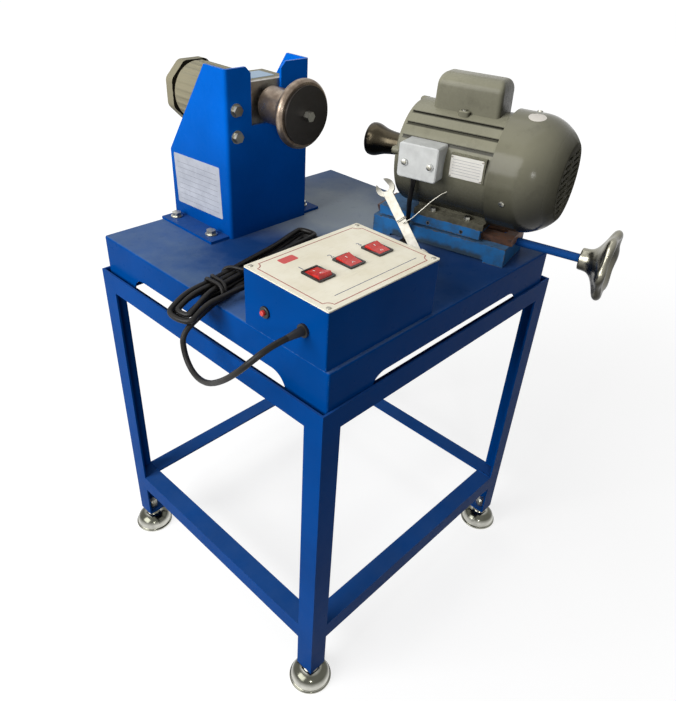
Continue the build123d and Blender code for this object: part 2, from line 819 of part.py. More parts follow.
# Blade spindle, turned, with a threaded nose hole for the flange screw
spindle_plane, spindle_axis = radial(pan_frame, spindle_x, spindle_height)
spindle_tail = gearbox_front + spindle_bore_depth - loose_gap
with BuildPart() as blade_spindle:
    with BuildSketch(spindle_plane):
        with Locations((spindle_nose, 0)):
            Rectangle(spindle_tail - spindle_nose, spindle_radius, align=Align.MIN)
            Rectangle(
                flange_screw_reach, flange_screw_radius + seat_fit, align=Align.MIN, mode=Mode.SUBTRACT
            )
    revolve(axis=spindle_axis)
blade_spindle.part.label = "blade_spindle"
export_step(blade_spindle.part, "parts/blade_spindle.step")

# Blade flange: a hub that flares into a rounded rim
with BuildPart() as blade_flange:
    with BuildSketch(spindle_plane):
        with BuildLine():
            Polyline(
                (spindle_nose, spindle_radius + seat_fit),
                (hub_rear, spindle_radius + seat_fit),
                (hub_rear, hub_radius),
                (hub_front, hub_radius),
            )
            TangentArc(
                (hub_front, hub_radius), (flange_rear, flange_radius - flange_edge_round), tangent=(-1, 0)
            )
            RadiusArc(
                (flange_rear, flange_radius - flange_edge_round),
                (flange_front, flange_radius - flange_edge_round),
                -flange_edge_radius,
            )
            Polyline(
                (flange_front, flange_radius - flange_edge_round),
                (flange_front, flange_screw_radius + seat_fit),
                (spindle_nose, flange_screw_radius + seat_fit),
                (spindle_nose, spindle_radius + seat_fit),
            )
        make_face()
    revolve(axis=spindle_axis)
blade_flange.part.label = "blade_flange"
export_step(blade_flange.part, "parts/blade_flange.step")

# Clamp disc and the hex screw that draws it against the flange
with BuildPart() as clamp_disc:
    with BuildSketch(spindle_plane):
        with Locations((flange_front - clamp_wall, flange_screw_radius + seat_fit)):
            Rectangle(clamp_wall, clamp_radius - flange_screw_radius - seat_fit, align=Align.MIN)
    revolve(axis=spindle_axis)
    chamfer(clamp_disc.edges().filter_by(GeomType.CIRCLE).sort_by(Axis.Y)[0:1], length=clamp_chamfer)
clamp_disc.part.label = "clamp_disc"
export_step(clamp_disc.part, "parts/clamp_disc.step")

screw_seat_plane = crosswise(pan_frame, flange_front - clamp_wall, spindle_x, spindle_height)
with BuildPart() as flange_screw:
    with BuildSketch(screw_seat_plane):
        RegularPolygon(flange_screw_head_radius, 6)
    extrude(amount=flange_screw_head_height)
    with BuildSketch(screw_seat_plane):
        Circle(flange_screw_radius)
    extrude(amount=-(spindle_nose + flange_screw_reach - loose_gap - flange_front + clamp_wall))
flange_screw.part.label = "flange_screw"
export_step(flange_screw.part, "parts/flange_screw.step")

# Slide base: a block on two feet with a channel for the screw and half of its bearings
base_rear = base_front + base_length
screw_height = base_height
channel_length = base_length - 2 * channel_end_wall
channel_middle = (base_front + base_rear) / 2
screw_plane, screw_axis = radial(slide_frame, slide_u, screw_height)
with BuildPart() as slide_base:
    with BuildSketch(slide_frame):
        with Locations((slide_u, channel_middle)):
            Rectangle(base_width, base_length)
    extrude(amount=base_height)
    with BuildSketch(slide_frame):
        with Locations((slide_u, channel_middle)):
            Rectangle(base_width, base_length - 2 * base_foot_length)
    extrude(amount=base_relief, mode=Mode.SUBTRACT)
    with BuildSketch(slide_frame.offset(channel_floor)):
        with Locations((slide_u, channel_middle)):
            Rectangle(channel_width, channel_length)
    extrude(amount=base_height - channel_floor, mode=Mode.SUBTRACT)
    with BuildSketch(crosswise(slide_frame, base_front, slide_u, screw_height)):
        Circle(screw_journal_radius + running_fit)
    extrude(amount=-channel_end_wall, mode=Mode.SUBTRACT)
    with BuildSketch(crosswise(slide_frame, base_rear, slide_u, screw_height)):
        Circle(screw_tail_radius + running_fit)
    extrude(amount=channel_end_wall, mode=Mode.SUBTRACT)
slide_base.part.label = "slide_base"
export_step(slide_base.part, "parts/slide_base.step")

# Dovetail bar on the base, slotted for the nut, with the upper half of the screw's bearings
flank_slope = math.tan(math.radians(dovetail_angle))
flank_secant = 1 / math.cos(math.radians(dovetail_angle))
bar_top = base_height + bar_height


def flank(height, shift=0):
    """Half width of the dovetail at a height, moved outwards square to the flank by a shift."""
    return bar_top_width / 2 - (bar_top - height) * flank_slope + shift * flank_secant


bar_front = base_front - bar_overhang
with BuildPart() as dovetail_bar:
    with BuildSketch(crosswise(slide_frame, bar_front, slide_u)):
        Polygon(
            (-flank(base_height), base_height),
            (flank(base_height), base_height),
            (flank(bar_top), bar_top),
            (-flank(bar_top), bar_top),
            align=None,
        )
    extrude(amount=-(base_length + bar_overhang))
    with BuildSketch(slide_frame.offset(base_height)):
        with Locations((slide_u, channel_middle)):
            Rectangle(channel_width, channel_length)
    extrude(amount=bar_height, mode=Mode.SUBTRACT)
    with BuildSketch(crosswise(slide_frame, bar_front, slide_u, screw_height)):
        Circle(screw_journal_radius + running_fit)
    extrude(amount=-(channel_end_wall + bar_overhang), mode=Mode.SUBTRACT)
    with BuildSketch(crosswise(slide_frame, base_rear, slide_u, screw_height)):
        Circle(screw_tail_radius + running_fit)
    extrude(amount=channel_end_wall, mode=Mode.SUBTRACT)
dovetail_bar.part.label = "dovetail_bar"
export_step(dovetail_bar.part, "parts/dovetail_bar.step")

# Saddle: grooved to ride on the dovetail, with room for the gib on its left
saddle_bottom = base_height + saddle_lift
saddle_top = saddle_bottom + saddle_height
saddle_middle = saddle_front + saddle_length / 2
groove_top = bar_top + sliding_gap
gib_side = gib_wall + 2 * sliding_gap
foot_middle = motor_foot_front + motor_foot_length / 2
motor_bolts_at = [
    (slide_u + side * (base_width / 2 - motor_bolt_inset), foot_middle + along * motor_bolt_pitch / 2)
    for side in (-1, 1)
    for along in (-1, 1)
]
gib_screw_height = saddle_bottom + gib_screw_rise - gib_screw_radius
gib_screws_at = [(saddle_middle + place * gib_screw_pitch, gib_screw_height) for place in (-1, 0, 1)]
with BuildPart() as saddle:
    with BuildSketch(slide_frame.offset(saddle_bottom)):
        with Locations((slide_u, saddle_middle)):
            Rectangle(base_width, saddle_length)
    extrude(amount=saddle_height)
    with BuildSketch(crosswise(slide_frame, saddle_front, slide_u)):
        Polygon(
            (-flank(saddle_bottom, gib_side), saddle_bottom),
            (flank(saddle_bottom, sliding_gap), saddle_bottom),
            (flank(groove_top, sliding_gap), groove_top),
            (-flank(groove_top, gib_side), groove_top),
            align=None,
        )
    extrude(amount=-saddle_length, mode=Mode.SUBTRACT)
    with BuildSketch(lengthwise(slide_frame, slide_u - base_width / 2)):
        with Locations(*gib_screws_at):
            Circle(gib_screw_radius + running_fit)
    extrude(amount=base_width / 2 - flank(groove_top), mode=Mode.SUBTRACT)
    with BuildSketch(slide_frame.offset(saddle_top)):
        with Locations(*motor_bolts_at):
            Circle(motor_bolt_radius + seat_fit)
    extrude(amount=-motor_bolt_grip, mode=Mode.SUBTRACT)
saddle.part.label = "saddle"
export_step(saddle.part, "parts/saddle.step")

# Gib strip between the saddle and the dovetail, and the grub screws that press it home
gib_low = saddle_bottom + sliding_gap
gib_high = bar_top - sliding_gap
with BuildPart() as saddle_gib:
    with BuildSketch(crosswise(slide_frame, saddle_front + gib_margin, slide_u)):
        Polygon(
            (-flank(gib_low, sliding_gap + gib_wall), gib_low),
            (-flank(gib_low, sliding_gap), gib_low),
            (-flank(gib_high, sliding_gap), gib_high),
            (-flank(gib_high, sliding_gap + gib_wall), gib_high),
            align=None,
        )
    extrude(amount=-(saddle_length - 2 * gib_margin))
saddle_gib.part.label = "saddle_gib"
export_step(saddle_gib.part, "parts/saddle_gib.step")

gib_screw_tip = flank(gib_screw_height + gib_screw_radius, gib_side)
with BuildPart() as gib_screws:
    with BuildSketch(lengthwise(slide_frame, slide_u - base_width / 2)):
        with Locations(*gib_screws_at):
            Circle(gib_screw_radius)
    extrude(amount=base_width / 2 - gib_screw_tip)
gib_screws.part.label = "gib_screws"
export_step(gib_screws.part, "parts/gib_screws.step")

# Lead screw: handwheel end, journal, inner collar, thread and tail journal, turned in one piece
screw_shoulder = bar_front - loose_gap
collar_front = base_front + channel_end_wall + loose_gap
collar_rear = collar_front + screw_collar_wall
thread_rear = base_rear - channel_end_wall - loose_gap
wheel_front = wheel_hub_rear - wheel_hub_length
with BuildPart() as lead_screw:
    with BuildSketch(screw_plane):
        with BuildLine():
            Polyline(
                (wheel_front, 0),
                (wheel_front, screw_radius),
                (screw_shoulder, screw_radius),
                (screw_shoulder, screw_journal_radius),
                (collar_front, screw_journal_radius),
                (collar_front, screw_collar_radius),
                (collar_rear, screw_collar_radius),
                (collar_rear, screw_radius),
                (thread_rear, screw_radius),
                (thread_rear, screw_tail_radius),
                (base_rear, screw_tail_radius),
                (base_rear, 0),
                (wheel_front, 0),
            )
        make_face()
    revolve(axis=screw_axis)
lead_screw.part.label = "lead_screw"
export_step(lead_screw.part, "parts/lead_screw.step")

# Screw nut: hangs from the saddle through the slot in the bar
with BuildPart() as lead_nut:
    with BuildSketch(slide_frame.offset(groove_top)):
        with Locations((slide_u, saddle_middle)):
            Rectangle(nut_width, nut_length)
    extrude(amount=-(groove_top - screw_height + nut_drop))
    with BuildSketch(crosswise(slide_frame, saddle_middle, slide_u, screw_height)):
        Circle(screw_radius + running_fit)
    extrude(amount=nut_length, both=True, mode=Mode.SUBTRACT)
lead_nut.part.label = "lead_nut"
export_step(lead_nut.part, "parts/lead_nut.step")

# Handwheel: dished web, round rim and shallow finger hollows
rim_radius = wheel_radius - wheel_rim_section
rim_rear = wheel_rim_v + wheel_rim_tuck
with BuildPart() as handwheel:
    with BuildSketch(screw_plane):
        with BuildLine():
            Polyline(
                (wheel_front, screw_radius + seat_fit),
                (wheel_hub_rear, screw_radius + seat_fit),
                (wheel_hub_rear, wheel_hub_radius),
                (wheel_front + wheel_web_wall, wheel_hub_radius),
            )
            Line((wheel_front + wheel_web_wall, wheel_hub_radius), (rim_rear, rim_radius))
            Line((rim_rear, rim_radius), (rim_rear - wheel_web_wall, rim_radius))
            Line((rim_rear - wheel_web_wall, rim_radius), (wheel_front, wheel_hub_radius))
            Line((wheel_front, wheel_hub_radius), (wheel_front, screw_radius + seat_fit))
        make_face()
        with Locations((wheel_rim_v, rim_radius)):
            Circle(wheel_rim_section)
    revolve(axis=screw_axis)
    with BuildSketch(crosswise(slide_frame, wheel_rim_v, slide_u, screw_height)):
        with PolarLocations(wheel_radius - wheel_lobe_cut + wheel_lobe_radius, wheel_lobes):
            Circle(wheel_lobe_radius)
    extrude(amount=wheel_rim_section, both=True, mode=Mode.SUBTRACT)
handwheel.part.label = "handwheel"
export_step(handwheel.part, "parts/handwheel.step")

# Motor frame: grooved barrel with its fan-end wall, name pad and two rows of feet
motor_plane, motor_axis = radial(slide_frame, slide_u, motor_height)
motor_cross = crosswise(slide_frame, motor_rear, slide_u, motor_height)
motor_length = motor_rear - motor_front
end_wall_front = motor_front - cover_seat
groove_angles = [
    90 + side * (motor_groove_start + place * motor_groove_step)
    for side in (-1, 1)
    for place in range(motor_groove_count)
]
with BuildPart() as motor_frame:
    with BuildSketch(motor_cross):
        Circle(motor_radius)
        for angle in groove_angles:
            with PolarLocations(motor_radius, 1, start_angle=angle):
                Rectangle(2 * motor_groove_depth, motor_groove_width, mode=Mode.SUBTRACT)
    extrude(amount=motor_length)
    with BuildSketch(motor_cross.offset(motor_length)):
        Circle(cover_radius - cover_wall - sliding_gap)
    extrude(amount=cover_seat)
    with BuildSketch(lengthwise(slide_frame, slide_u - pad_reach, 0, motor_height + pad_rise)):
        with Locations((pad_front, 0)):
            Rectangle(pad_length, pad_height, align=(Align.MIN, Align.CENTER))
    extrude(amount=pad_reach - motor_bore_radius)
    for side in (-1, 1):
        foot_edge = slide_u + side * base_width / 2
        web_edge = foot_edge - side * motor_foot_width
        outward = (Align.MAX if side > 0 else Align.MIN, Align.CENTER)
        with BuildSketch(slide_frame.offset(saddle_top)):
            with Locations((foot_edge, foot_middle)):
                Rectangle(motor_foot_width, motor_foot_length, align=outward)
        extrude(amount=motor_foot_wall)
        with BuildSketch(slide_frame.offset(saddle_top)):
            with Locations((web_edge, foot_middle)):
                Rectangle(motor_foot_web, motor_foot_length)
        extrude(amount=motor_height - saddle_top - motor_bore_radius)
    with BuildSketch(slide_frame.offset(saddle_top)):
        with Locations(*motor_bolts_at):
            Circle(motor_bolt_radius + hole_gap)
    extrude(amount=motor_foot_wall, mode=Mode.SUBTRACT)
    with BuildSketch(motor_plane):
        with Locations((motor_rear, 0)):
            Rectangle(motor_length, motor_bore_radius, align=(Align.MAX, Align.MIN))
        with Locations((motor_front, 0)):
            Rectangle(bearing_wall, bearing_radius + seat_fit, align=(Align.MAX, Align.MIN))
        with Locations((motor_front, 0)):
            Rectangle(2 * cover_seat, shaft_radius + loose_gap, align=(Align.MAX, Align.MIN))
    revolve(axis=motor_axis, mode=Mode.SUBTRACT)
motor_frame.part.label = "motor_frame"
export_step(motor_frame.part, "parts/motor_frame.step")

# Hex screws that hold the motor's feet to the saddle
with BuildPart() as motor_foot_bolts:
    with BuildSketch(slide_frame.offset(saddle_top + motor_foot_wall)):
        with Locations(*motor_bolts_at):
            RegularPolygon(motor_bolt_head_radius, 6)
    extrude(amount=motor_bolt_head_height)
    with BuildSketch(slide_frame.offset(saddle_top + motor_foot_wall)):
        with Locations(*motor_bolts_at):
            Circle(motor_bolt_radius)
    extrude(amount=-(motor_foot_wall + motor_bolt_grip))
motor_foot_bolts.part.label = "motor_foot_bolts"
export_step(motor_foot_bolts.part, "parts/motor_foot_bolts.step")

# Stator pack pressed into the barrel
motor_middle = (motor_front + motor_rear) / 2
with BuildPart() as stator:
    with BuildSketch(motor_plane):
        with Locations((motor_middle, stator_bore_radius)):
            stator_wall = motor_bore_radius - seat_fit - stator_bore_radius
            Rectangle(stator_length, stator_wall, align=(Align.CENTER, Align.MIN))
    revolve(axis=motor_axis)
stator.part.label = "stator"
export_step(stator.part, "parts/stator.step")

# Drive-end bell: a shallow dome with a spigot, a bearing seat and four screw lugs
bell_face = motor_rear + bell_depth
with BuildPart() as drive_end_bell:
    with BuildSketch(motor_plane):
        with BuildLine():
            Polyline(
                (motor_rear - bell_rim, bell_spigot_inner),
                (motor_rear - bell_rim, motor_bore_radius - seat_fit),
                (motor_rear, motor_bore_radius - seat_fit),
                (motor_rear, bell_radius),
                (motor_rear + bell_rim / 2, bell_radius),
            )
            rim_edge = (motor_rear + bell_rim / 2, bell_radius)
            TangentArc(rim_edge, (motor_rear + bell_rim, bell_shoulder), tangent=(1, 0))
            Polyline(
                (motor_rear + bell_rim, bell_shoulder),
                (bell_face, bell_hub_radius),
                (bell_face, shaft_radius + loose_gap),
                (motor_rear + bearing_wall, shaft_radius + loose_gap),
                (motor_rear + bearing_wall, bearing_radius + seat_fit),
                (motor_rear, bearing_radius + seat_fit),
                (motor_rear, bell_spigot_inner),
                (motor_rear - bell_rim, bell_spigot_inner),
            )
        make_face()
    revolve(axis=motor_axis)
    with BuildSketch(motor_cross):
        with PolarLocations(bell_radius - bell_lug_inset, bell_lug_count, start_angle=bell_lug_angle):
            Circle(bell_lug_radius)
    extrude(amount=-(bell_rim + bell_lug_rise))
    with BuildSketch(motor_cross.offset(-(bell_rim + bell_lug_rise))):
        with PolarLocations(bell_radius - bell_lug_inset, bell_lug_count, start_angle=bell_lug_angle):
            RegularPolygon(bell_bolt_radius, 6)
    extrude(amount=-bell_lug_rise)
drive_end_bell.part.label = "drive_end_bell"
export_step(drive_end_bell.part, "parts/drive_end_bell.step")

# Rotor with its shaft, turned in one piece, and the two bearings that carry it
core_radius = stator_bore_radius - rotor_gap
with BuildPart() as rotor_shaft:
    with BuildSketch(motor_plane):
        with Locations((shaft_front, 0)):
            Rectangle(shaft_rear - shaft_front, shaft_radius, align=Align.MIN)
        with Locations((motor_middle, 0)):
            Rectangle(stator_length, core_radius, align=(Align.CENTER, Align.MIN))
    revolve(axis=motor_axis)
rotor_shaft.part.label = "rotor_shaft"
export_step(rotor_shaft.part, "parts/rotor_shaft.step")

with BuildPart() as rotor_bearings:
    with BuildSketch(motor_plane):
        for bearing_rear in (motor_front, motor_rear + bearing_wall):
            with Locations((bearing_rear, shaft_radius + running_fit)):
                ring_wall = bearing_radius - shaft_radius - running_fit
                Rectangle(bearing_wall, ring_wall, align=(Align.MAX, Align.MIN))
    revolve(axis=motor_axis)
rotor_bearings.part.label = "rotor_bearings"
export_step(rotor_bearings.part, "parts/rotor_bearings.step")

# Fan cover: a drawn dome with rows of level slots in its flat end
slide_along = Axis(slide_frame.origin, slide_frame.y_dir)
with BuildPart() as fan_cover:
    with BuildSketch(motor_plane):
        with BuildLine():
            Polyline((motor_front, 0), (motor_front, cover_radius), (cover_shoulder, cover_radius))
            TangentArc((cover_shoulder, cover_radius), (cover_end, cover_flat_radius), tangent=(-1, 0))
            Polyline((cover_end, cover_flat_radius), (cover_end, 0), (motor_front, 0))
        make_face()
    revolve(axis=motor_axis)
    fillet(fan_cover.faces().sort_by(slide_along)[0].edges(), radius=cover_end_round)
    offset(amount=-cover_wall, openings=fan_cover.faces().sort_by(slide_along)[-1])
    with BuildSketch(motor_cross.offset(motor_rear - cover_end)):
        for row in range(slot_rows):
            slot_height = (row - (slot_rows - 1) / 2) * slot_pitch
            slot_length = math.sqrt(slot_circle**2 - slot_height**2) - slot_column_gap / 2
            for side in (-1, 1):
                with Locations((side * (slot_column_gap + slot_length) / 2, slot_height)):
                    SlotOverall(slot_length, slot_width)
    extrude(amount=-2 * cover_wall, mode=Mode.SUBTRACT)
fan_cover.part.label = "fan_cover"
export_step(fan_cover.part, "parts/fan_cover.step")

# Cooling fan on the shaft inside the cover
fan_cross = motor_cross.offset(motor_rear - fan_front - fan_length)
with BuildPart() as cooling_fan:
    with BuildSketch(fan_cross):
        Circle(fan_radius)
    extrude(amount=fan_plate)
    with BuildSketch(fan_cross):
        Circle(fan_hub_radius)
        with PolarLocations(shaft_radius + fan_blade_wall, fan_blades):
            Rectangle(fan_blade_length, fan_blade_wall, align=(Align.MIN, Align.CENTER))
    extrude(amount=fan_length)
    with BuildSketch(fan_cross):
        Circle(shaft_radius + seat_fit)
    extrude(amount=fan_length, mode=Mode.SUBTRACT)
cooling_fan.part.label = "cooling_fan"
export_step(cooling_fan.part, "parts/cooling_fan.step")

# Arbor: a trumpet on the shaft's nose with a threaded hole for the wheel
arbor_front = bell_face + arbor_clearance
arbor_bore_end = shaft_rear + loose_gap
with BuildPart() as arbor:
    with BuildSketch(motor_plane):
        with BuildLine():
            Polyline(
                (arbor_front, shaft_radius + seat_fit),
                (arbor_front, arbor_neck_radius),
                (arbor_front + arbor_rim_wall, arbor_neck_radius),
            )
            TangentArc(
                (arbor_front + arbor_rim_wall, arbor_neck_radius),
                (arbor_rear - arbor_rim_wall, arbor_rim_radius),
                tangent=(1, 0),
            )
            Polyline(
                (arbor_rear - arbor_rim_wall, arbor_rim_radius),
                (arbor_rear, arbor_rim_radius),
                (arbor_rear, arbor_thread_radius),
                (arbor_rear - arbor_thread_depth, arbor_thread_radius),
                (arbor_rear - arbor_thread_depth, 0),
                (arbor_bore_end, 0),
                (arbor_bore_end, shaft_radius + seat_fit),
                (arbor_front, shaft_radius + seat_fit),
            )
        make_face()
    revolve(axis=motor_axis)
    arbor_face = arbor.faces().sort_by(slide_along)[-1]
    fillet(arbor_face.edges().sort_by(SortBy.RADIUS)[-1], radius=arbor_edge_round)
arbor.part.label = "arbor"
export_step(arbor.part, "parts/arbor.step")

# Capacitor housing, saddled on the barrel, with a screw lug on each side
cap_plane = slide_frame.offset(motor_height)
cap_middle = cap_front + cap_length / 2
saddle_radius = motor_radius + running_fit
with BuildPart() as capacitor_housing:
    with BuildSketch(cap_plane):
        with Locations((slide_u, cap_middle)):
            Rectangle(cap_width, cap_length)
    extrude(amount=cap_top - motor_height)
    fillet(capacitor_housing.faces().sort_by(Axis.Z)[-1].edges(), radius=cap_round)
    with BuildSketch(cap_plane):
        with Locations((slide_u, cap_middle)):
            Rectangle(cap_width + 2 * cap_lug, cap_lug_length)
    lug_rise = math.sqrt(motor_radius**2 - (cap_width / 2) ** 2) + cap_lug_wall
    extrude(amount=lug_rise)
    with BuildSketch(motor_cross):
        Circle(saddle_radius)
    extrude(amount=motor_length, mode=Mode.SUBTRACT)
capacitor_housing.part.label = "capacitor_housing"
export_step(capacitor_housing.part, "parts/capacitor_housing.step")

# Terminal box on the barrel's left side, hollow behind its lid
terminal_middle = terminal_front + terminal_length / 2
terminal_size = terminal_high - terminal_low
terminal_level = (terminal_low + terminal_high) / 2
terminal_face = lengthwise(slide_frame, slide_u - terminal_reach, terminal_middle, terminal_level)
with BuildPart() as terminal_box:
    with BuildSketch(terminal_face):
        RectangleRounded(terminal_length, terminal_size, terminal_round)
    extrude(amount=terminal_reach - motor_bore_radius)
    with BuildSketch(terminal_face):
        Rectangle(terminal_length - 2 * terminal_wall, terminal_size - 2 * terminal_wall)
    extrude(amount=terminal_reach - motor_radius - terminal_wall, mode=Mode.SUBTRACT)
    with BuildSketch(motor_cross):
        Circle(saddle_radius)
    extrude(amount=motor_length, mode=Mode.SUBTRACT)
terminal_box.part.label = "terminal_box"
export_step(terminal_box.part, "parts/terminal_box.step")

with BuildPart() as terminal_lid:
    with BuildSketch(terminal_face):
        RectangleRounded(terminal_length, terminal_size, terminal_round)
    extrude(amount=-terminal_lid_wall)
    lid_face = terminal_lid.faces().sort_by(Axis(slide_frame.origin, slide_frame.x_dir))[0]
    chamfer(lid_face.edges(), length=lid_bevel)
    with BuildSketch(terminal_face.offset(-terminal_lid_wall)):
        with Locations((-lid_boss_along, -lid_boss_drop), (lid_boss_along, -lid_boss_drop)):
            Circle(lid_boss_radius)
    extrude(amount=-lid_boss_rise)
terminal_lid.part.label = "terminal_lid"
export_step(terminal_lid.part, "parts/terminal_lid.step")

# Spanner: two open jaws on a flat shank, leaning beside the slide
lean = slide_frame.from_local_coords(Vector(*spanner_lean)) - slide_frame.origin
facing = slide_frame.from_local_coords(Vector(*spanner_normal)) - slide_frame.origin
upright = facing.normalized().Z
spanner_level = spanner_head_radius * math.sqrt(1 - upright**2) + spanner_wall / 2 * upright + spanner_lift
spanner_foot = slide_frame.from_local_coords((spanner_foot_u, spanner_foot_v, spanner_level))
spanner_plane = Plane(spanner_foot, x_dir=lean, z_dir=facing)
with BuildPart() as spanner:
    with BuildSketch(spanner_plane):
        with Locations((0, 0), (spanner_span, 0)):
            Circle(spanner_head_radius)
        with Locations((spanner_span / 2, 0)):
            Rectangle(spanner_span, spanner_shank_width)
        for place, turn in ((0, 180 + spanner_jaw_angle), (spanner_span, spanner_jaw_angle)):
            with Locations(Location((place, 0, 0), (0, 0, turn))):
                Circle(spanner_jaw / 2, mode=Mode.SUBTRACT)
                mouth = (Align.MIN, Align.CENTER)
                Rectangle(2 * spanner_head_radius, spanner_jaw, align=mouth, mode=Mode.SUBTRACT)
    extrude(amount=spanner_wall / 2, both=True)
spanner.part.label = "spanner"
export_step(spanner.part, "parts/spanner.step")


def arc_radii(route):
    """Radius at each corner of a route: a share of the shorter run over the tangent of half the turn."""
    radii = []
    for before, corner, after in zip(route, route[1:], route[2:]):
        run_in = Vector(*corner) - Vector(*before)
        run_out = Vector(*after) - Vector(*corner)
        half_turn = math.radians(run_in.get_angle(run_out) / 2)
        radii.append(corner_share * min(run_in.length, run_out.length) / math.tan(half_turn))
    return radii


# Motor lead: a tube along its route
with BuildPart() as motor_lead:
    with BuildLine() as lead_path:
        lead_points = [slide_frame.from_local_coords(Vector(*point)) for point in lead_route]
        FilletPolyline(*lead_points, radius=arc_radii(lead_route))
    lead_line = lead_path.wires()[0]
    with BuildSketch(Plane(lead_line @ 0, z_dir=lead_line % 0)):
        Circle(lead_diameter / 2)
    sweep(path=lead_line)
lead_filling = motor_lead.part.volume / (lead_line.length * math.pi * (lead_diameter / 2) ** 2)
print("motor lead: length", round(lead_line.length, 1), "filling", round(lead_filling, 3))
motor_lead.part.label = "motor_lead"
export_step(motor_lead.part, "parts/motor_lead.step")

# Hank of spare cord: seven runs in two layers, drawn in at the waist, with one climb along a run
hank_turn = math.radians(hank_angle)
hank_fall = math.radians(hank_fall_angle)
hank_frame = Plane(
    pan_frame.from_local_coords((hank_x, hank_y, 0)),
    x_dir=(math.cos(hank_turn), math.sin(hank_turn), 0),
    z_dir=(0, 0, 1),
)
hank_low = cord_radius + loose_gap
hank_high = hank_low + hank_layer
inner_waist = hank_step / 2
outer_waist = hank_step * 1.5
outer_bight = hank_inner_bight + hank_step
short_bight = hank_inner_bight - hank_step
# Each run: offset at the left end, at the waist and at the right end, then its height left and right
hank_runs = [
    (-hank_entry_side, -outer_waist, -outer_bight, hank_low, hank_low),
    (outer_bight, outer_waist, outer_bight, hank_low, hank_low),
    (-short_bight, -inner_waist, -hank_inner_bight, hank_low, hank_low),
    (hank_inner_bight, inner_waist, hank_inner_bight, hank_high, hank_low),
    (-hank_inner_bight, -inner_waist, -hank_inner_bight, hank_high, hank_high),
    (outer_bight, outer_waist, outer_bight, hank_high, hank_high),
]


def hank_drop(along):
    """How far the hank has sunk left of the pan's edge: by the square of the distance from the edge."""
    past = max(0.0, -along - hank_lip)
    return past**2 / (2 * (hank_half_run - hank_lip)) * math.tan(hank_fall)


def hank_point(along, across, up):
    """A point of the hank in the machine's frame."""
    return hank_frame.from_local_coords(Vector(along, across, up))


def left_marks(left, waist, up):
    """Points from a run's left end to its neck: eased in to the waist, and sunk beyond the pan's edge."""
    points = []
    for along in (-hank_half_run, -(hank_half_run + hank_lip) / 2, -hank_lip, -hank_waist_half):
        share = (-along - hank_waist_half) / (hank_half_run - hank_waist_half)
        eased = 2 * share**2 if share < 0.5 else 1 - 2 * (1 - share) ** 2
        points.append(hank_point(along, waist + (left - waist) * eased, up - hank_drop(along)))
    return points


hank_ahead = hank_frame.x_dir
hank_rising = hank_ahead * math.cos(hank_fall) + hank_frame.z_dir * math.sin(hank_fall)
left_sunk = hank_drop(-hank_half_run)
with BuildLine(mode=Mode.PRIVATE) as hank_path:
    entry = hank_point(-hank_entry, -hank_entry_side, hank_low)
    Line(entry - hank_ahead * cord_diameter, entry)
    for number, (left, waist, right, left_up, right_up) in enumerate(hank_runs):
        rightward = number % 2 == 0
        neck = -hank_entry + hank_entry_ease if number == 0 else -hank_waist_half
        from_neck = [
            hank_point(neck, waist, left_up),
            hank_point(0, waist, (left_up + right_up) / 2),
            hank_point(hank_waist_half, waist, right_up),
            hank_point((hank_waist_half + hank_half_run) / 2, (waist + right) / 2, right_up),
            hank_point(hank_half_run, right, right_up),
        ]
        if number == 0:
            half_way = hank_point((neck - hank_entry) / 2, (left + waist) / 2, left_up)
            bend = TangentArc(entry, half_way, tangent=hank_ahead)
            TangentArc(half_way, from_neck[0], tangent=bend % 1)
        elif rightward:
            Spline(*left_marks(left, waist, left_up), tangents=(hank_rising, hank_ahead))
        else:
            from_neck.reverse()
            bend = TangentArc(from_neck[0], from_neck[1], tangent=-hank_ahead)
            TangentArc(from_neck[1], from_neck[2], tangent=bend % 1)
        first, middle, last = from_neck[:3] if rightward else from_neck[2:]
        ahead = hank_ahead if rightward else -hank_ahead
        if left_up == right_up:
            Line(first, last)
        else:
            bend = TangentArc(first, middle, tangent=ahead)
            TangentArc(middle, last, tangent=bend % 1)
        if rightward:
            bend = TangentArc(from_neck[2], from_neck[3], tangent=hank_ahead)
            TangentArc(from_neck[3], from_neck[4], tangent=bend % 1)
            joining = hank_runs[number + 1][2]
            crown = hank_half_run + abs(joining - right) / 2
            ThreePointArc(
                from_neck[4],
                hank_point(crown, (right + joining) / 2, right_up),
                hank_point(hank_half_run, joining, right_up),
            )
        else:
            sunk_marks = left_marks(left, waist, left_up)
            sunk_marks.reverse()
            Spline(*sunk_marks, tangents=(-hank_ahead, -hank_rising))
            joining = hank_runs[number + 1][0] if number + 1 < len(hank_runs) else -outer_bight
            radius = abs(joining - left) / 2
            ThreePointArc(
                sunk_marks[-1],
                hank_point(-hank_half_run, (left + joining) / 2, left_up - left_sunk) - hank_rising * radius,
                hank_point(-hank_half_run, joining, left_up - left_sunk),
            )
    tail_along = (hank_plug_along - hank_half_run) / 2
    tail_side = -(outer_bight + hank_plug_side) / 2
    tail_end = hank_point(hank_plug_along, -hank_plug_side, hank_high)
    Spline(
        *left_marks(-outer_bight, tail_side, hank_high)[:3],
        hank_point(tail_along, tail_side, hank_high),
        tail_end,
        tangents=(hank_rising, hank_ahead),
    )
    Line(tail_end, tail_end + hank_ahead * cord_diameter)
hank_line = hank_path.wires()[0]
with BuildPart() as cord_hank:
    with BuildSketch(Plane(hank_line @ 0, z_dir=hank_line % 0)):
        Circle(cord_radius)
    sweep(path=hank_line)
cord_hank.part.label = "cord_hank"
export_step(cord_hank.part, "parts/cord_hank.step")

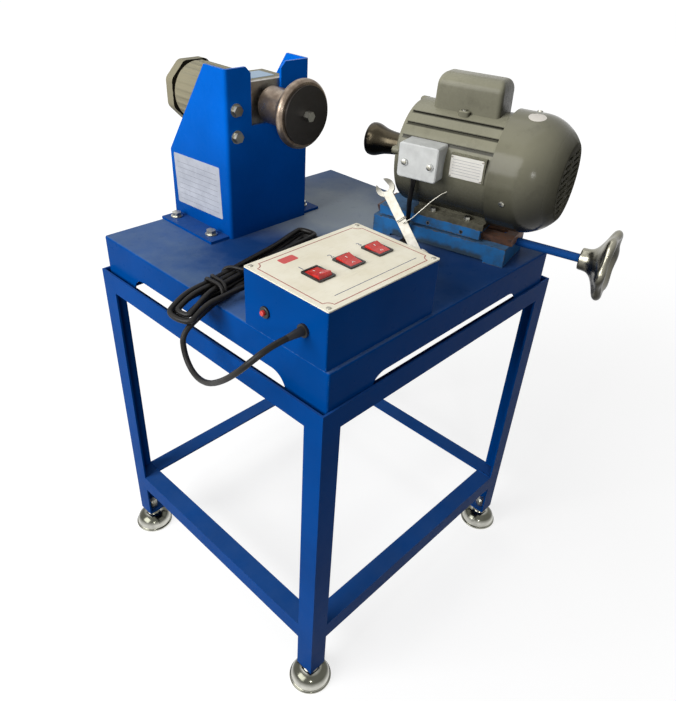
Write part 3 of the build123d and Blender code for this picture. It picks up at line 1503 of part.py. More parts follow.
# Least gap of the hank to itself, measured on points along its middle line
hank_samples = round(hank_line.length / (cord_diameter / 2))
hank_spacing = hank_line.length / hank_samples
hank_dots = [hank_line @ (number / hank_samples) for number in range(hank_samples + 1)]
apart = math.ceil(math.pi * cord_diameter / hank_spacing)
least = min(
    (hank_dots[first] - hank_dots[second]).length
    for first in range(len(hank_dots))
    for second in range(first + apart, len(hank_dots))
)
hank_filling = cord_hank.part.volume / (hank_line.length * math.pi * cord_radius**2)
print("hank: length", round(hank_line.length, 1), "filling", round(hank_filling, 3))
print("hank: least gap to itself", round(least - cord_diameter, 2))

# Mains plug at the end of the hank, lying on the pan
plug_start = pan_frame.to_local_coords(tail_end + hank_ahead * cord_diameter)
plug_frame = Plane(pan_frame.from_local_coords(plug_start), x_dir=(0, 0, 1), z_dir=hank_ahead)
plug_radius = hank_high - loose_gap
with BuildPart() as mains_plug:
    with BuildSketch(plug_frame):
        Circle(cord_radius + running_fit)
    with BuildSketch(plug_frame.offset(plug_neck)):
        Circle(plug_neck_radius)
    loft()
    with BuildSketch(plug_frame.offset(plug_neck)):
        Circle(plug_radius)
    extrude(amount=plug_body)
    plug_rims = mains_plug.edges().filter_by(GeomType.CIRCLE).sort_by(Axis(plug_start, hank_ahead))
    fillet(plug_rims[-2:], radius=plug_round)
    with BuildSketch(plug_frame.offset(plug_neck + plug_body)):
        with Locations((0, -plug_pin_pitch / 2), (0, plug_pin_pitch / 2)):
            Circle(plug_pin_radius)
    extrude(amount=plug_pin_length)
mains_plug.part.label = "mains_plug"
export_step(mains_plug.part, "parts/mains_plug.step")

# Power cord: from the gland in a low loop beside the pan and up to the hank
cord_arrival = pan_frame.to_local_coords(entry - hank_ahead * cord_diameter)
cord_eased = pan_frame.to_local_coords(entry - hank_ahead * (cord_diameter + cord_last_run))
cord_sunk_along = -(hank_entry + cord_fall_run + cord_diameter)
cord_sunk_level = hank_low - hank_drop(cord_sunk_along)
cord_sunk = pan_frame.to_local_coords(hank_point(cord_sunk_along, -hank_entry_side, cord_sunk_level))
gland_tip = (box_x - box_width / 2 - gland_flange_wall - gland_sleeve_length, box_y + gland_y, gland_z)
cord_route = [
    gland_tip,
    (gland_tip[0] - cord_exit_run, gland_tip[1], gland_tip[2]),
    (-300.0, -185.0, 27.0),
    (-310.0, -170.0, 7.0),
    (-309.0, -141.0, -21.0),
    (-304.0, -108.0, -46.0),
    (-299.0, -80.0, -57.0),
    (-295.0, -58.0, -55.0),
    (-292.0, -43.0, -40.0),
    (-289.0, -38.0, -17.0),
    tuple(cord_sunk),
    tuple(cord_eased),
    tuple(cord_arrival),
]
with BuildPart() as power_cord:
    with BuildLine() as cord_path:
        cord_points = [pan_frame.from_local_coords(Vector(*point)) for point in cord_route]
        FilletPolyline(*cord_points, radius=arc_radii(cord_route))
    cord_line = cord_path.wires()[0]
    with BuildSketch(Plane(cord_line @ 0, z_dir=cord_line % 0)):
        Circle(cord_radius)
    sweep(path=cord_line)
cord_filling = power_cord.part.volume / (cord_line.length * math.pi * cord_radius**2)
print("power cord: length", round(cord_line.length, 1), "filling", round(cord_filling, 3))
power_cord.part.label = "power_cord"
export_step(power_cord.part, "parts/power_cord.step")
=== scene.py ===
import math

import bmesh
import bpy
import numpy as np
from mathutils import Matrix


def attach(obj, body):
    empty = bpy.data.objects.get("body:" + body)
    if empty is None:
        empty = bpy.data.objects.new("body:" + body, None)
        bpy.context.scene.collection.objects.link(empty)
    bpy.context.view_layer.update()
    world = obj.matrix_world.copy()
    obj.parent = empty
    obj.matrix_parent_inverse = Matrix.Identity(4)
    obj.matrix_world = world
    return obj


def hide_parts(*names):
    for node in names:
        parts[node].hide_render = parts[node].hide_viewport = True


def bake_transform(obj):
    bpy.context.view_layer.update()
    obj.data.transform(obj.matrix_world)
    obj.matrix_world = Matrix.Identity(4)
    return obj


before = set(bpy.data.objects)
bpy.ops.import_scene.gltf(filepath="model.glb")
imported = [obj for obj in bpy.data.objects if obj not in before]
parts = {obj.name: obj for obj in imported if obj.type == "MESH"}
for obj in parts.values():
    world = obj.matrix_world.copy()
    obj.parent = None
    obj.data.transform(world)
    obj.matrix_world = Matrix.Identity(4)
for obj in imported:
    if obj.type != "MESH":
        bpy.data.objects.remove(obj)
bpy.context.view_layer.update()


# The room: a plain pale floor and a white surround. One large soft lamp stands on the machine's left, a
# weaker one hangs above it and a small one stands in front like a window, so the faces towards the
# operator lie in shade.

def linear(red, green, blue):
    """Colour as read on a screen, 0 to 255, turned to linear light by the screen's standard curve."""
    screen = np.array((red, green, blue)) / 255
    light = np.where(screen <= 0.04045, screen / 12.92, ((screen + 0.055) / 1.055) ** 2.4)
    return (*light.tolist(), 1.0)


def fill(tree, socket, value):
    """Links a value to a socket where it is a socket itself, and sets it otherwise."""
    if isinstance(value, bpy.types.NodeSocket):
        tree.links.new(value, socket)
    else:
        socket.default_value = value


def node(tree, kind, inputs=None, **settings):
    """One shader node: settings are its properties, inputs its sockets by name or number."""
    made = tree.nodes.new("ShaderNode" + kind)
    for key, value in settings.items():
        setattr(made, key, value)
    for key, value in (inputs or {}).items():
        fill(tree, made.inputs[key], value)
    return made


def maths(tree, operation, first, second=0.0, clamp=False):
    """One sum on two values or sockets."""
    return node(tree, "Math", {0: first, 1: second}, operation=operation, use_clamp=clamp).outputs[0]


def seen_directly(tree):
    """1 for rays from the camera, a mirror or glass, 0 for rays that carry light from surface to surface."""
    path = node(tree, "LightPath").outputs
    direct = maths(tree, "ADD", path["Is Camera Ray"], path["Is Glossy Ray"], True)
    return maths(tree, "ADD", direct, path["Is Transmission Ray"], True)


def bare_tree(holder):
    """The emptied node tree of a material or a world."""
    holder.use_nodes = True
    holder.node_tree.nodes.clear()
    return holder.node_tree


def placed(name, data):
    """An object for a mesh, curve, lamp or camera, put into the scene at the origin."""
    made = bpy.data.objects.new(name, data)
    bpy.context.scene.collection.objects.link(made)
    return made


def grid_piece(name, points, faces, smooth=40.0):
    """A mesh object from an array of points and a list of faces, its faces turned outwards and smooth up to
    that angle."""
    mesh = bpy.data.meshes.new(name)
    mesh.from_pydata(np.asarray(points, float).reshape(-1, 3).tolist(), [], faces)
    shell = bmesh.new()
    shell.from_mesh(mesh)
    bmesh.ops.recalc_face_normals(shell, faces=shell.faces)
    shell.to_mesh(mesh)
    shell.free()
    mesh.shade_smooth()
    mesh.set_sharp_from_angle(angle=math.radians(smooth))
    return placed(name, mesh)


white = (1.0, 1.0, 1.0, 1.0)
floor_reach, floor_white, floor_mottling, floor_bounce = 40.0, 0.35, 0.02, 0.14
near_reach, near_glow, far_reach, far_glow = 0.6, 0.74, 2.6, 0.97
surround_light = 0.15

floor_corners = np.array([(-1, -1, 0), (1, -1, 0), (1, 1, 0), (-1, 1, 0)], float) * floor_reach
studio_floor = grid_piece("studio_floor", floor_corners, [[0, 1, 2, 3]])
pale_floor = bpy.data.materials.new("pale_floor")
tree = bare_tree(pale_floor)
eye = seen_directly(tree)
mottle = node(tree, "TexNoise", {"Scale": 3.0, "Detail": 3.0}).outputs["Fac"]
grey = maths(tree, "ADD", maths(tree, "MULTIPLY", mottle, floor_mottling), floor_white - floor_mottling / 2)
grey = node(tree, "Mix", {0: eye, 2: floor_bounce, 3: grey}).outputs[0]
matt = node(tree, "BsdfDiffuse", {"Color": grey}).outputs[0]
place = node(tree, "TexCoord").outputs["Object"]
apart = node(tree, "VectorMath", {0: place}, operation="LENGTH").outputs["Value"]
glow = {0: apart, 1: near_reach, 2: far_reach, 3: near_glow, 4: far_glow}
glow = maths(tree, "MULTIPLY", eye, node(tree, "MapRange", glow).outputs[0])
glow = node(tree, "Emission", {"Color": white, "Strength": glow}).outputs[0]
node(tree, "OutputMaterial", {"Surface": node(tree, "AddShader", {0: matt, 1: glow}).outputs[0]})
studio_floor.data.materials.append(pale_floor)

surround = bpy.data.worlds.new("white_surround")
tree = bare_tree(surround)
strength = node(tree, "Mix", {0: seen_directly(tree), 2: surround_light, 3: 1.0}).outputs[0]
sky = node(tree, "Background", {"Color": white, "Strength": strength}).outputs[0]
node(tree, "OutputWorld", {"Surface": sky})
bpy.context.scene.world = surround
bpy.context.scene.view_settings.view_transform = "Standard"


def stood(axes, place):
    """The matrix that stands an object at a place with those axes as its columns."""
    return Matrix([[*row, at] for row, at in zip(axes, place)] + [[0, 0, 0, 1]])


def soft_lamp(name, place, towards, size, power):
    """A square lamp of that size in metres, turned so that it faces a point."""
    lamp = bpy.data.lights.new(name, "AREA")
    lamp.shape, lamp.size, lamp.energy = "SQUARE", size, power
    back = np.subtract(place, towards) / np.linalg.norm(np.subtract(place, towards))
    side = np.cross((0, 1, 0) if abs(back[2]) > 0.95 else (0, 0, 1), back)
    side /= np.linalg.norm(side)
    placed(name, lamp).matrix_world = stood(np.c_[side, np.cross(back, side), back], place)


soft_lamp("left_softbox", (-2.6, 0.5, 1.9), (0.0, 0.0, 0.45), 2.0, 100.0)
soft_lamp("ceiling_softbox", (0.2, 0.9, 3.0), (0.0, 0.0, 0.5), 2.4, 20.0)
soft_lamp("front_window", (-1.68, -1.88, 1.39), (0.13, -0.25, 0.75), 0.28, 10.0)

# The camera stands where the photograph was taken, left of the operator and a little above the machine
camera_azimuth = math.radians(-47.9182)
camera_elevation = math.radians(34.1509)
camera_roll = math.radians(3.4965)
camera_place = (-0.6521, -0.6129, 1.0135)
focal_pixels, frame_pixels = 655.03, 701.0
away = np.array((
    math.sin(camera_azimuth) * math.cos(camera_elevation),
    -math.cos(camera_azimuth) * math.cos(camera_elevation),
    math.sin(camera_elevation),
))
level_right = np.array((math.cos(camera_azimuth), math.sin(camera_azimuth), 0.0))
level_up = np.cross(away, level_right)
camera_right = math.cos(camera_roll) * level_right + math.sin(camera_roll) * level_up
camera_up = math.cos(camera_roll) * level_up - math.sin(camera_roll) * level_right
lens = bpy.data.cameras.new("photo_camera")
lens.sensor_width = 36.0
lens.lens = lens.sensor_width * focal_pixels / frame_pixels
photo_camera = placed("photo_camera", lens)
photo_camera.matrix_world = stood(np.c_[camera_right, camera_up, away], camera_place)
bpy.context.scene.camera = photo_camera


# The stand: legs, lower rails and a top ring of 30 x 30 x 3 mm angle iron, welded and sprayed with blue
# enamel. Each joint carries a rippled bead of weld on its inner side, painted over with the rest.

rightward, backward, upright = np.eye(3)


class Finish:
    """A material in the making: its node tree, its principled shader, the object's own coordinates in metres,
    the direction that a face looks in, and the paint laid so far."""

    def __init__(self, name):
        self.material = bpy.data.materials.new(name)
        self.material.use_nodes = True
        self.tree = self.material.node_tree
        self.skin = self.tree.nodes["Principled BSDF"]
        self.place = self.node("TexCoord").outputs["Object"]
        self.normal = self.node("NewGeometry").outputs["Normal"]
        self.paint = None

    def node(self, kind, inputs=None, **settings):
        """One shader node of this finish."""
        return node(self.tree, kind, inputs, **settings)

    def maths(self, operation, first, second=0.0):
        """One sum on two values or sockets."""
        return maths(self.tree, operation, first, second)

    def plus(self, first, second):
        """Two values added."""
        return self.maths("ADD", first, second)

    def times(self, first, second):
        """Two values multiplied."""
        return self.maths("MULTIPLY", first, second)

    def vector(self, operation, first, second=(0.0, 0.0, 0.0)):
        """One sum on two vectors: a number for a dot product, length or distance, otherwise a vector."""
        made = self.node("VectorMath", {0: first, 1: second}, operation=operation)
        return made.outputs["Value" if operation in ("DOT_PRODUCT", "LENGTH", "DISTANCE") else "Vector"]

    def looks(self, direction):
        """How far a face looks in a direction: the cosine of the angle between the two."""
        return self.vector("DOT_PRODUCT", self.normal, direction)

    def reach(self, foot, axis):
        """How far a point lies from a foot along an axis."""
        return self.vector("DOT_PRODUCT", self.vector("SUBTRACT", self.place, foot), axis)

    def speckle(self, scale, detail=3.0, rough=0.5, place=None):
        """Noise from 0 to 1 with that many spots to the metre."""
        place = self.place if place is None else place
        inputs = {"Vector": place, "Scale": scale, "Detail": detail, "Roughness": rough}
        return self.node("TexNoise", inputs).outputs["Fac"]

    def ragged(self, noise, middle, width):
        """A noise set about its middle and widened, which unsettles the border of a patch."""
        return self.times(self.maths("SUBTRACT", noise, middle), width)

    def spread(self, value, low, high, first=0.0, second=1.0):
        """Straight line: low gives the first value, high the second, held level outside."""
        return self.node("MapRange", {0: value, 1: low, 2: high, 3: first, 4: second}).outputs[0]

    def feed(self, **sockets):
        """Fills the shader's sockets: names with _ for a space."""
        for key, value in sockets.items():
            fill(self.tree, self.skin.inputs[key.replace("_", " ")], value)

    def coat(self, colour, share=None):
        """Paints the piece with a colour, or lays the colour over the paint so far by a share."""
        if share is not None:
            mix = self.node("Mix", {0: share, 6: self.paint, 7: colour}, data_type="RGBA")
            colour = mix.outputs[2]
        self.paint = colour
        self.feed(Base_Color=colour)

    def shade(self, share):
        """Scales the paint's brightness by a share."""
        self.coat(self.node("VectorMath", {0: self.paint, 3: share}, operation="SCALE").outputs["Vector"])

    def mottle(self, first, second, share, low, high):
        """Two colours mixed by a share, which also carries the roughness from low to high."""
        self.coat(first)
        self.coat(second, share)
        self.feed(Roughness=self.spread(share, 0.0, 1.0, low, high))

    def relief(self, height, depth, strength):
        """Bump on the shader from a height of 0 to 1, that deep in metres."""
        bump = self.node("Bump", {"Strength": strength, "Distance": depth, "Height": height})
        self.feed(Normal=bump.outputs[0])


def darker(colour, share, lift=0.0):
    """A colour at that share of its brightness, lifted by a little grey."""
    return tuple(share * part + lift for part in colour[:3]) + (1.0,)


def block_edges(finish, middle, half, turn, reach):
    """1 at a block's edges, 0 inside its faces: the second least of a point's three distances to the block's
    sides, unsettled by a noise and set against the reach of the wear."""
    inputs = {0: finish.place, 1: middle, 2: (0, 0, turn)}
    local = finish.node("Mapping", inputs, vector_type="TEXTURE").outputs[0]
    inward = finish.vector("SUBTRACT", half, finish.vector("ABSOLUTE", local))
    x, y, z = finish.node("SeparateXYZ", {0: inward}).outputs
    least, most = finish.maths("MINIMUM", x, y), finish.maths("MAXIMUM", x, y)
    second = finish.maths("MAXIMUM", least, finish.maths("MINIMUM", most, z))
    ragged = finish.ragged(finish.speckle(160.0, 5.0, 0.65), 0.42, 5 * reach)
    return finish.spread(finish.plus(second, ragged), 0.0, reach, 1.0, 0.0)


dust_and_sheen_grey = linear(128, 144, 144)


def sprayed_enamel(name, colour, gloss, edges=None, bare_and_highlight=None, dust_and_sheen=0.08):
    """Enamel sprayed on steel: the colour drifts with a slow noise, a pale grey lies on level faces in
    patches for settled dust and a painted sheen, the gloss breaks up with a finer noise and a finest one
    gives the orange peel. Edges, where given, are worn to the edge colour: bare metal on the slide, and on
    the pan and the box a lighter blue that is also a painted highlight."""
    finish = Finish(name)
    finish.coat(darker(colour, 0.8))
    finish.coat(colour, finish.spread(finish.speckle(9.0, 4.0), 0.3, 0.7))
    patchy = finish.spread(finish.speckle(21.0, 6.0, 0.66), 0.25, 0.75, 0.5 * dust_and_sheen, 1.3 * dust_and_sheen)
    # Level faces take the pale grey in patches: settled dust and a painted sheen
    finish.coat(dust_and_sheen_grey, finish.times(finish.spread(finish.looks(upright), 0.6, 1.0), patchy))
    matt = finish.spread(finish.speckle(60.0, 5.0, 0.6), 0.25, 0.75, gloss, gloss + 0.14)
    peel = finish.times(finish.speckle(620.0, 2.0), 0.6)
    if edges is not None:
        worn = block_edges(finish, *edges)
        finish.coat(bare_and_highlight, worn)
        matt = finish.plus(matt, finish.times(worn, 0.12))
        peel = finish.maths("SUBTRACT", peel, finish.times(worn, 0.5))
    finish.feed(Roughness=matt, Specular_IOR_Level=0.015)
    finish.relief(peel, 0.00022, 0.55)
    return finish


def dress(finish, *names):
    """Gives CAD nodes that finish in place of the one they came with."""
    for name in names:
        parts[name].data.materials.clear()
        parts[name].data.materials.append(finish.material)


machine_blue = linear(0, 70, 146)
corner_names = ("front_left", "front_right", "back_left", "back_right")
stand_blue = sprayed_enamel("stand_enamel", machine_blue, 0.26)
dress(stand_blue, "top_ring", *("leg_" + corner for corner in corner_names))
dress(stand_blue, *("lower_rail_" + side for side in ("front", "back", "left", "right")))


def skin_of(rings, closed=False, start=0):
    """Points and faces of a tube: rings is an array of rings of points, neighbours are joined by quads, and
    the two ends are capped, or joined to each other where the tube is closed."""
    count, around = rings.shape[:2]
    index = np.arange(count * around).reshape(count, around) + start
    near = index if closed else index[:-1]
    far = np.roll(index, -1, axis=0) if closed else index[1:]
    quads = np.stack((near, np.roll(near, -1, axis=1), np.roll(far, -1, axis=1), far), -1)
    faces = quads.reshape(-1, 4).tolist()
    if not closed:
        faces += [index[0][::-1].tolist(), index[-1].tolist()]
    return rings.reshape(-1, 3), faces


def finished(piece, finish, slot, body, *replaced):
    """Gives a new piece its finish, hides the CAD nodes that it replaces and hangs it on the body it rides
    on. The slot is not used.
    """
    piece.data.materials.append(finish.material)
    if replaced:
        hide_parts(*replaced)
    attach(piece, body)
    return piece


def group_piece(name, tubes, finish, slot, body, *replaced, closed=False, smooth=40.0):
    """One finished mesh piece of several tubes."""
    points, faces, start = [], [], 0
    for rings in tubes:
        more, walls = skin_of(rings, closed, start)
        points.append(more)
        faces += walls
        start += len(more)
    made = grid_piece(name, np.concatenate(points), faces, smooth)
    return finished(made, finish, slot, body, *replaced)


def full_turn(around):
    """That many angles round a circle."""
    return np.linspace(0, 2 * math.pi, around, endpoint=False)


def round_bar(path, radii, around=12):
    """Rings of a round bar: at each point of the path a circle of that radius, square to the path's run."""
    run = np.gradient(path, axis=0)
    run /= np.linalg.norm(run, axis=1, keepdims=True)
    hint = np.eye(3)[np.argmin(np.abs(run).max(axis=0))]
    side = np.cross(run, hint)
    side /= np.linalg.norm(side, axis=1, keepdims=True)
    rise = np.cross(side, run)
    angle = full_turn(around)[None, :, None]
    circle = np.cos(angle) * side[:, None] + np.sin(angle) * rise[:, None]
    return path[:, None] + np.asarray(radii)[:, None, None] * circle


def weld_bead(start, end, radius=0.0019, ripple=0.0026):
    """A bar from start to end whose radius swells and sinks with each ripple and runs out at both ends."""
    length = np.linalg.norm(end - start)
    along = np.linspace(0, 1, 4 * round(length / ripple) + 1)
    swell = 0.82 + 0.18 * np.abs(np.sin(math.pi * along * length / ripple))
    run_out = np.sqrt(np.clip(np.minimum(along, 1 - along) * length / (2 * radius), 0.02, 1))
    return round_bar(start + along[:, None] * (end - start), radius * swell * run_out, 10)


leg_x, leg_y, angle_side, angle_wall = 0.250, 0.234, 0.030, 0.003
ring_under, rail_top = 0.518, 0.133
bead_sink = 0.0007
inner_x, inner_y = leg_x - angle_wall, leg_y - angle_wall
edge_x, edge_y = leg_x - angle_side, leg_y - angle_side
ring_bead, rail_bead = ring_under - bead_sink, rail_top - bead_sink
flange_low, flange_high = rail_top - angle_side, rail_top - angle_wall
bead_runs = np.array([
    [(edge_x, inner_y - bead_sink, ring_bead), (inner_x, inner_y - bead_sink, ring_bead)],
    [(inner_x - bead_sink, edge_y, ring_bead), (inner_x - bead_sink, inner_y, ring_bead)],
    [(edge_x, edge_y, rail_bead), (edge_x, inner_y, rail_bead)],
    [(edge_x, inner_y, flange_low), (edge_x, inner_y, flange_high)],
    [(inner_x, edge_y, flange_low), (inner_x, edge_y, flange_high)],
])
corner_signs = ((-1, -1), (1, -1), (-1, 1), (1, 1))
beads = [weld_bead(*run) for x, y in corner_signs for run in bead_runs * (x, y, 1)]
group_piece("weld_beads", beads, stand_blue, "blue_paint", "stand", smooth=60.0)


# The feet: bells spun from steel and chromed, on zinc-plated studs with two nuts to a foot plate. The studs'
# ends above the nuts show their rolled thread.

def plated(name, colour, low, high, spots, pits, dark=0.5, onset=-0.15):
    """Plated steel: mirror metal whose gloss fades in smudges, with a darker tint in the same smudges and
    fine pits. Faces that look away from up and left are darkened from the onset downwards to the dark share:
    painted shade, which on chrome also stands for a painted reflection."""
    finish = Finish(name)
    smudge = finish.spread(finish.speckle(spots, 5.0, 0.62), 0.3, 0.72)
    finish.mottle(colour, darker(colour, 0.6), smudge, low, high)
    # Painted shade: darker as a face turns away from up and left
    shade_facing = finish.plus(finish.looks((-0.45, 0.15, 0.88)), finish.times(smudge, 0.25))
    finish.shade(finish.spread(shade_facing, onset, 0.95, dark, 1.0))
    finish.feed(Metallic=1.0)
    finish.relief(finish.speckle(900.0, 3.0), pits, 0.4)
    return finish


zinc = plated("zinc_plate", linear(206, 204, 192), 0.28, 0.48, 120.0, 0.00012)
dress(zinc, "foot_studs")
foot_chrome = plated("foot_chrome", linear(214, 213, 203), 0.1, 0.24, 45.0, 0.00008, 1.0)
dress(foot_chrome, *("foot_" + corner for corner in corner_names))

# A painted reflection: a dark olive band round the bells' shoulders, where the faces look neither sideways
# nor straight up
rise = foot_chrome.looks(upright)
painted_reflection_band = foot_chrome.times(foot_chrome.spread(rise, 0.34, 0.62), foot_chrome.spread(rise, 0.9, 0.99, 0.9, 0.3))
foot_chrome.coat(linear(62, 63, 51), painted_reflection_band)


def rolled_thread(foot, radius, length, pitch=0.0015, depth=0.0008):
    """Rings of an upright screw thread: the radius falls and rises with the share of a pitch that a point's
    height and its angle add up to, so that the crests wind round the axis."""
    height = np.linspace(0, length, 8 * round(length / pitch) + 1)[:, None]
    angle = full_turn(40)[None]
    share = (height / pitch - angle / (2 * math.pi)) % 1.0
    reach = radius - depth * np.abs(2 * share - 1)
    return foot + np.stack((-reach * np.cos(angle), -reach * np.sin(angle), height + 0 * angle), -1)


foot_inset = 0.0145
stud_radius, stud_nut_top, stud_tail = 0.0058, 0.0485, 0.0069
stud_foot = np.array((leg_x - foot_inset, leg_y - foot_inset, stud_nut_top))
threads = [rolled_thread(stud_foot * (x, y, 1), stud_radius, stud_tail) for x, y in corner_signs]
group_piece("stud_threads", threads, zinc, "zinc", "stand", smooth=60.0)


# The pan: one steel sheet folded into a tray, sprayed with the stand. Its folds are worn and painted a
# lighter blue, which is partly a painted highlight. A rubber grommet lines the hole where the grinding
# motor's lead goes through.

pan_middle, pan_top = np.array((-0.005, 0.0, 0.0)), 0.600
pan_half = np.array((0.235, 0.230, 0.0395))
pan_wear_and_highlight = (pan_middle + (pan_top - pan_half[2]) * upright, pan_half, 0.0, 0.0011)
pan_blue = sprayed_enamel("pan_enamel", machine_blue, 0.24, pan_wear_and_highlight, linear(74, 108, 150), 0.34)
dress(pan_blue, "pan")

# Grinding dust lies thickest in the middle of the top. Near the cord and in front of the slide, a deeper
# blue than the paint lies as painted shade. For each patch: its middle, its reach, its strength and its
# colour.
shade_blue, grinding_dust = linear(0, 52, 112), linear(168, 174, 170)
level = pan_blue.spread(pan_blue.looks(upright), 0.6, 1.0)
ragged = pan_blue.ragged(pan_blue.speckle(16.0, 5.0, 0.6), 0.5, 0.12)
for x, y, far, strength, tint in (
    (0.09, 0.085, 0.19, 0.62, grinding_dust),
    (-0.105, 0.055, 0.10, 0.85, shade_blue),
    (0.07, -0.23, 0.19, 0.75, shade_blue),
):
    apart = pan_blue.plus(pan_blue.vector("DISTANCE", pan_blue.place, (x, y, pan_top)), ragged)
    pan_blue.coat(tint, pan_blue.times(level, pan_blue.spread(apart, 0.3 * far, far, strength, 0.0)))


def on_pan(points):
    """Millimetres from the middle of the pan's top to metres in the machine's frame."""
    return np.asarray(points, float) / 1000 + pan_middle + (0, 0, pan_top)


def level_turn(first, second, turn):
    """Two level measures turned about the upright axis."""
    return (
        first * math.cos(turn) - second * math.sin(turn),
        first * math.sin(turn) + second * math.cos(turn),
    )


skew = math.radians(12.5)
slide_across = np.array((math.cos(skew), math.sin(skew), 0.0))
slide_along = np.array((-math.sin(skew), math.cos(skew), 0.0))


def on_slide(points):
    """Millimetres across, along and above the skewed slide to metres in the machine's frame: a turn about the
    upright axis through the pan's middle."""
    u, v, z = np.moveaxis(np.asarray(points, float), -1, 0)
    return on_pan(np.stack((*level_turn(u, v, skew), z), -1))


def beside(axis):
    """An axis of length 1 and two directions square to it and to each other."""
    axis = np.asarray(axis, float) / np.linalg.norm(axis)
    side = np.cross(axis, np.eye(3)[np.argmin(np.abs(axis))])
    side /= np.linalg.norm(side)
    return axis, side, np.cross(axis, side)


def turned(profile, foot, axis, around=40):
    """Rings of a turned form: for each height and radius of the profile, in millimetres, a circle about the
    axis."""
    axis, side, other = beside(axis)
    angle = full_turn(around)[:, None]
    height, radius = np.asarray(profile, float).T[:, :, None, None] / 1000
    return np.asarray(foot) + height * axis + radius * (np.cos(angle) * side + np.sin(angle) * other)


def moulded(name, colour, low, high, grain, depth):
    """Moulded plastic or rubber: a fine grain in its surface, its gloss and colour a little uneven from
    handling."""
    finish = Finish(name)
    handled = finish.spread(finish.speckle(70.0, 4.0, 0.6), 0.3, 0.7)
    finish.mottle(darker(colour, 0.78, 0.006), colour, handled, high, low)
    finish.feed(Specular_IOR_Level=0.4)
    finish.relief(finish.speckle(grain, 2.0), depth, 0.5)
    return finish


black_rubber = moulded("black_rubber", linear(27, 26, 25), 0.42, 0.62, 1500.0, 0.00012)
lead_hole = (73.5, -86.0, 0.0)
grommet_lips = [
    (-3.6, 3.8), (1.5, 3.8), (2.3, 4.5), (2.3, 6.6), (1.7, 7.5), (0.15, 7.5), (0.1, 4.9), (-2.1, 4.9),
    (-2.2, 7.0), (-3.6, 6.6),
]
grommet = turned(grommet_lips, on_slide(lead_hole), upright)
group_piece("lead_grommet", [grommet], black_rubber, "cord_black", "stand", closed=True, smooth=50.0)


# The control box: a folded hood in the same blue, with a cream plate riveted over its top. The plate is
# printed with a thin red line, a plain red field and the switches' numbers.

box_half = np.array((94.0, 67.5, 37.5))
box_foot = np.array((-141.0, -157.5, 0.0))
box_height = 2 * box_half[2]
# The box's edges are worn and painted a lighter blue, which is partly a painted highlight
box_wear_and_highlight = (on_pan(box_foot + box_half[2] * upright), box_half / 1000, 0.0, 0.0008)
dress(sprayed_enamel("box_enamel", machine_blue, 0.25, box_wear_and_highlight, linear(90, 125, 180)), "control_box")

cream = Finish("panel_cream")
cream.coat(linear(246, 241, 222))
cream.coat(linear(232, 224, 198), cream.spread(cream.speckle(26.0, 5.0, 0.6), 0.3, 0.75))
drawn_out = cream.node("Mapping", {0: cream.place, 3: (1.0, 7.0, 1.0)}).outputs[0]
smears = cream.speckle(55.0, 4.0, 0.7, drawn_out)
cream.coat(linear(160, 150, 132), cream.times(cream.spread(smears, 0.56, 0.8), 0.22))
cream.feed(Roughness=cream.spread(smears, 0.3, 0.8, 0.3, 0.5), Specular_IOR_Level=0.35)
cream.relief(cream.speckle(1400.0, 2.0), 0.00006, 0.4)
dress(cream, "control_panel")

panel_top = on_pan(box_foot + box_height * upright)
ink_wall, ink_bevel = 0.00012, 0.00003


def printed(name, colour):
    """Ink on a plate: a screen print, so its colour thins a little in a fine even grain."""
    finish = Finish(name)
    thin = finish.spread(finish.speckle(1800.0, 2.0), 0.35, 0.7)
    finish.mottle(colour, darker(colour, 0.85, 0.10), thin, 0.4, 0.55)
    return finish


def ribbon(path, width, height):
    """Rings of a flat printed line on a level plate: at each point of a closed path, a low rectangle across
    it."""
    run = np.roll(path, -1, axis=0) - np.roll(path, 1, axis=0)
    run /= np.linalg.norm(run, axis=1, keepdims=True)
    across = np.cross(run, upright) * width / 2
    up = height * upright
    return np.stack((path - across, path - across + up, path + across + up, path + across), axis=1)


border_half, border_scoop, border_width = np.array((0.0865, 0.0600)), 0.0085, 0.0012
scoop = np.linspace(math.pi, 1.5 * math.pi, 10)
corner = border_half + border_scoop * np.c_[np.cos(scoop), np.sin(scoop)]
flips = ((1, 1), (1, -1), (-1, -1), (-1, 1))
outline = np.concatenate([(corner if x * y > 0 else corner[::-1]) * (x, y) for x, y in flips])
border = ribbon(panel_top + np.c_[outline, np.zeros(len(outline))], border_width, ink_wall)
brick_red = printed("border_ink", linear(158, 66, 52))
group_piece("panel_border", [border], brick_red, "switch_red", "stand", closed=True)


def round_plate(size, corner, wall, middle, across, up, bevel=0.0002):
    """Rings of a thin plate with rounded corners: the same outline at its foot and near its face, and a
    little smaller at the face. Across and up give its plane, and it rises by its wall along their cross
    product."""
    turn = np.linspace(0, 0.5 * math.pi, 6)
    quarter = np.c_[np.cos(turn), np.sin(turn)]
    half = np.asarray(size) / 2
    out = np.cross(across, up)

    def outline(inset):
        signs = np.array([(1, 1), (-1, 1), (-1, -1), (1, -1)])
        arcs = [quarter, quarter[::-1] * (-1, 1), -quarter, quarter[::-1] * (1, -1)]
        loop = np.concatenate([(half - corner) * s + (corner - inset) * a for s, a in zip(signs, arcs)])
        return loop[:, :1] * across + loop[:, 1:] * up

    rises = ((0.0, 0.0), (0.0, wall - bevel), (bevel, wall))
    return np.asarray(middle) + np.stack([outline(inset) + rise * out for inset, rise in rises])


def level_print(size, corner, middle):
    """A printed field on the panel: a thin plate that lies level."""
    return round_plate(size, corner, ink_wall, middle, rightward, backward, ink_bevel)


red_field = level_print((0.0235, 0.0125), 0.0022, on_pan((-186.0, -110.5, box_height)))
group_piece("panel_red_field", [red_field], printed("red_ink", linear(205, 62, 58)), "switch_red", "stand")


def shaped(made):
    """The mesh of lettering or of a cord as it stands now."""
    bpy.context.view_layer.update()
    depsgraph = bpy.context.evaluated_depsgraph_get()
    return bpy.data.meshes.new_from_object(made.evaluated_get(depsgraph))


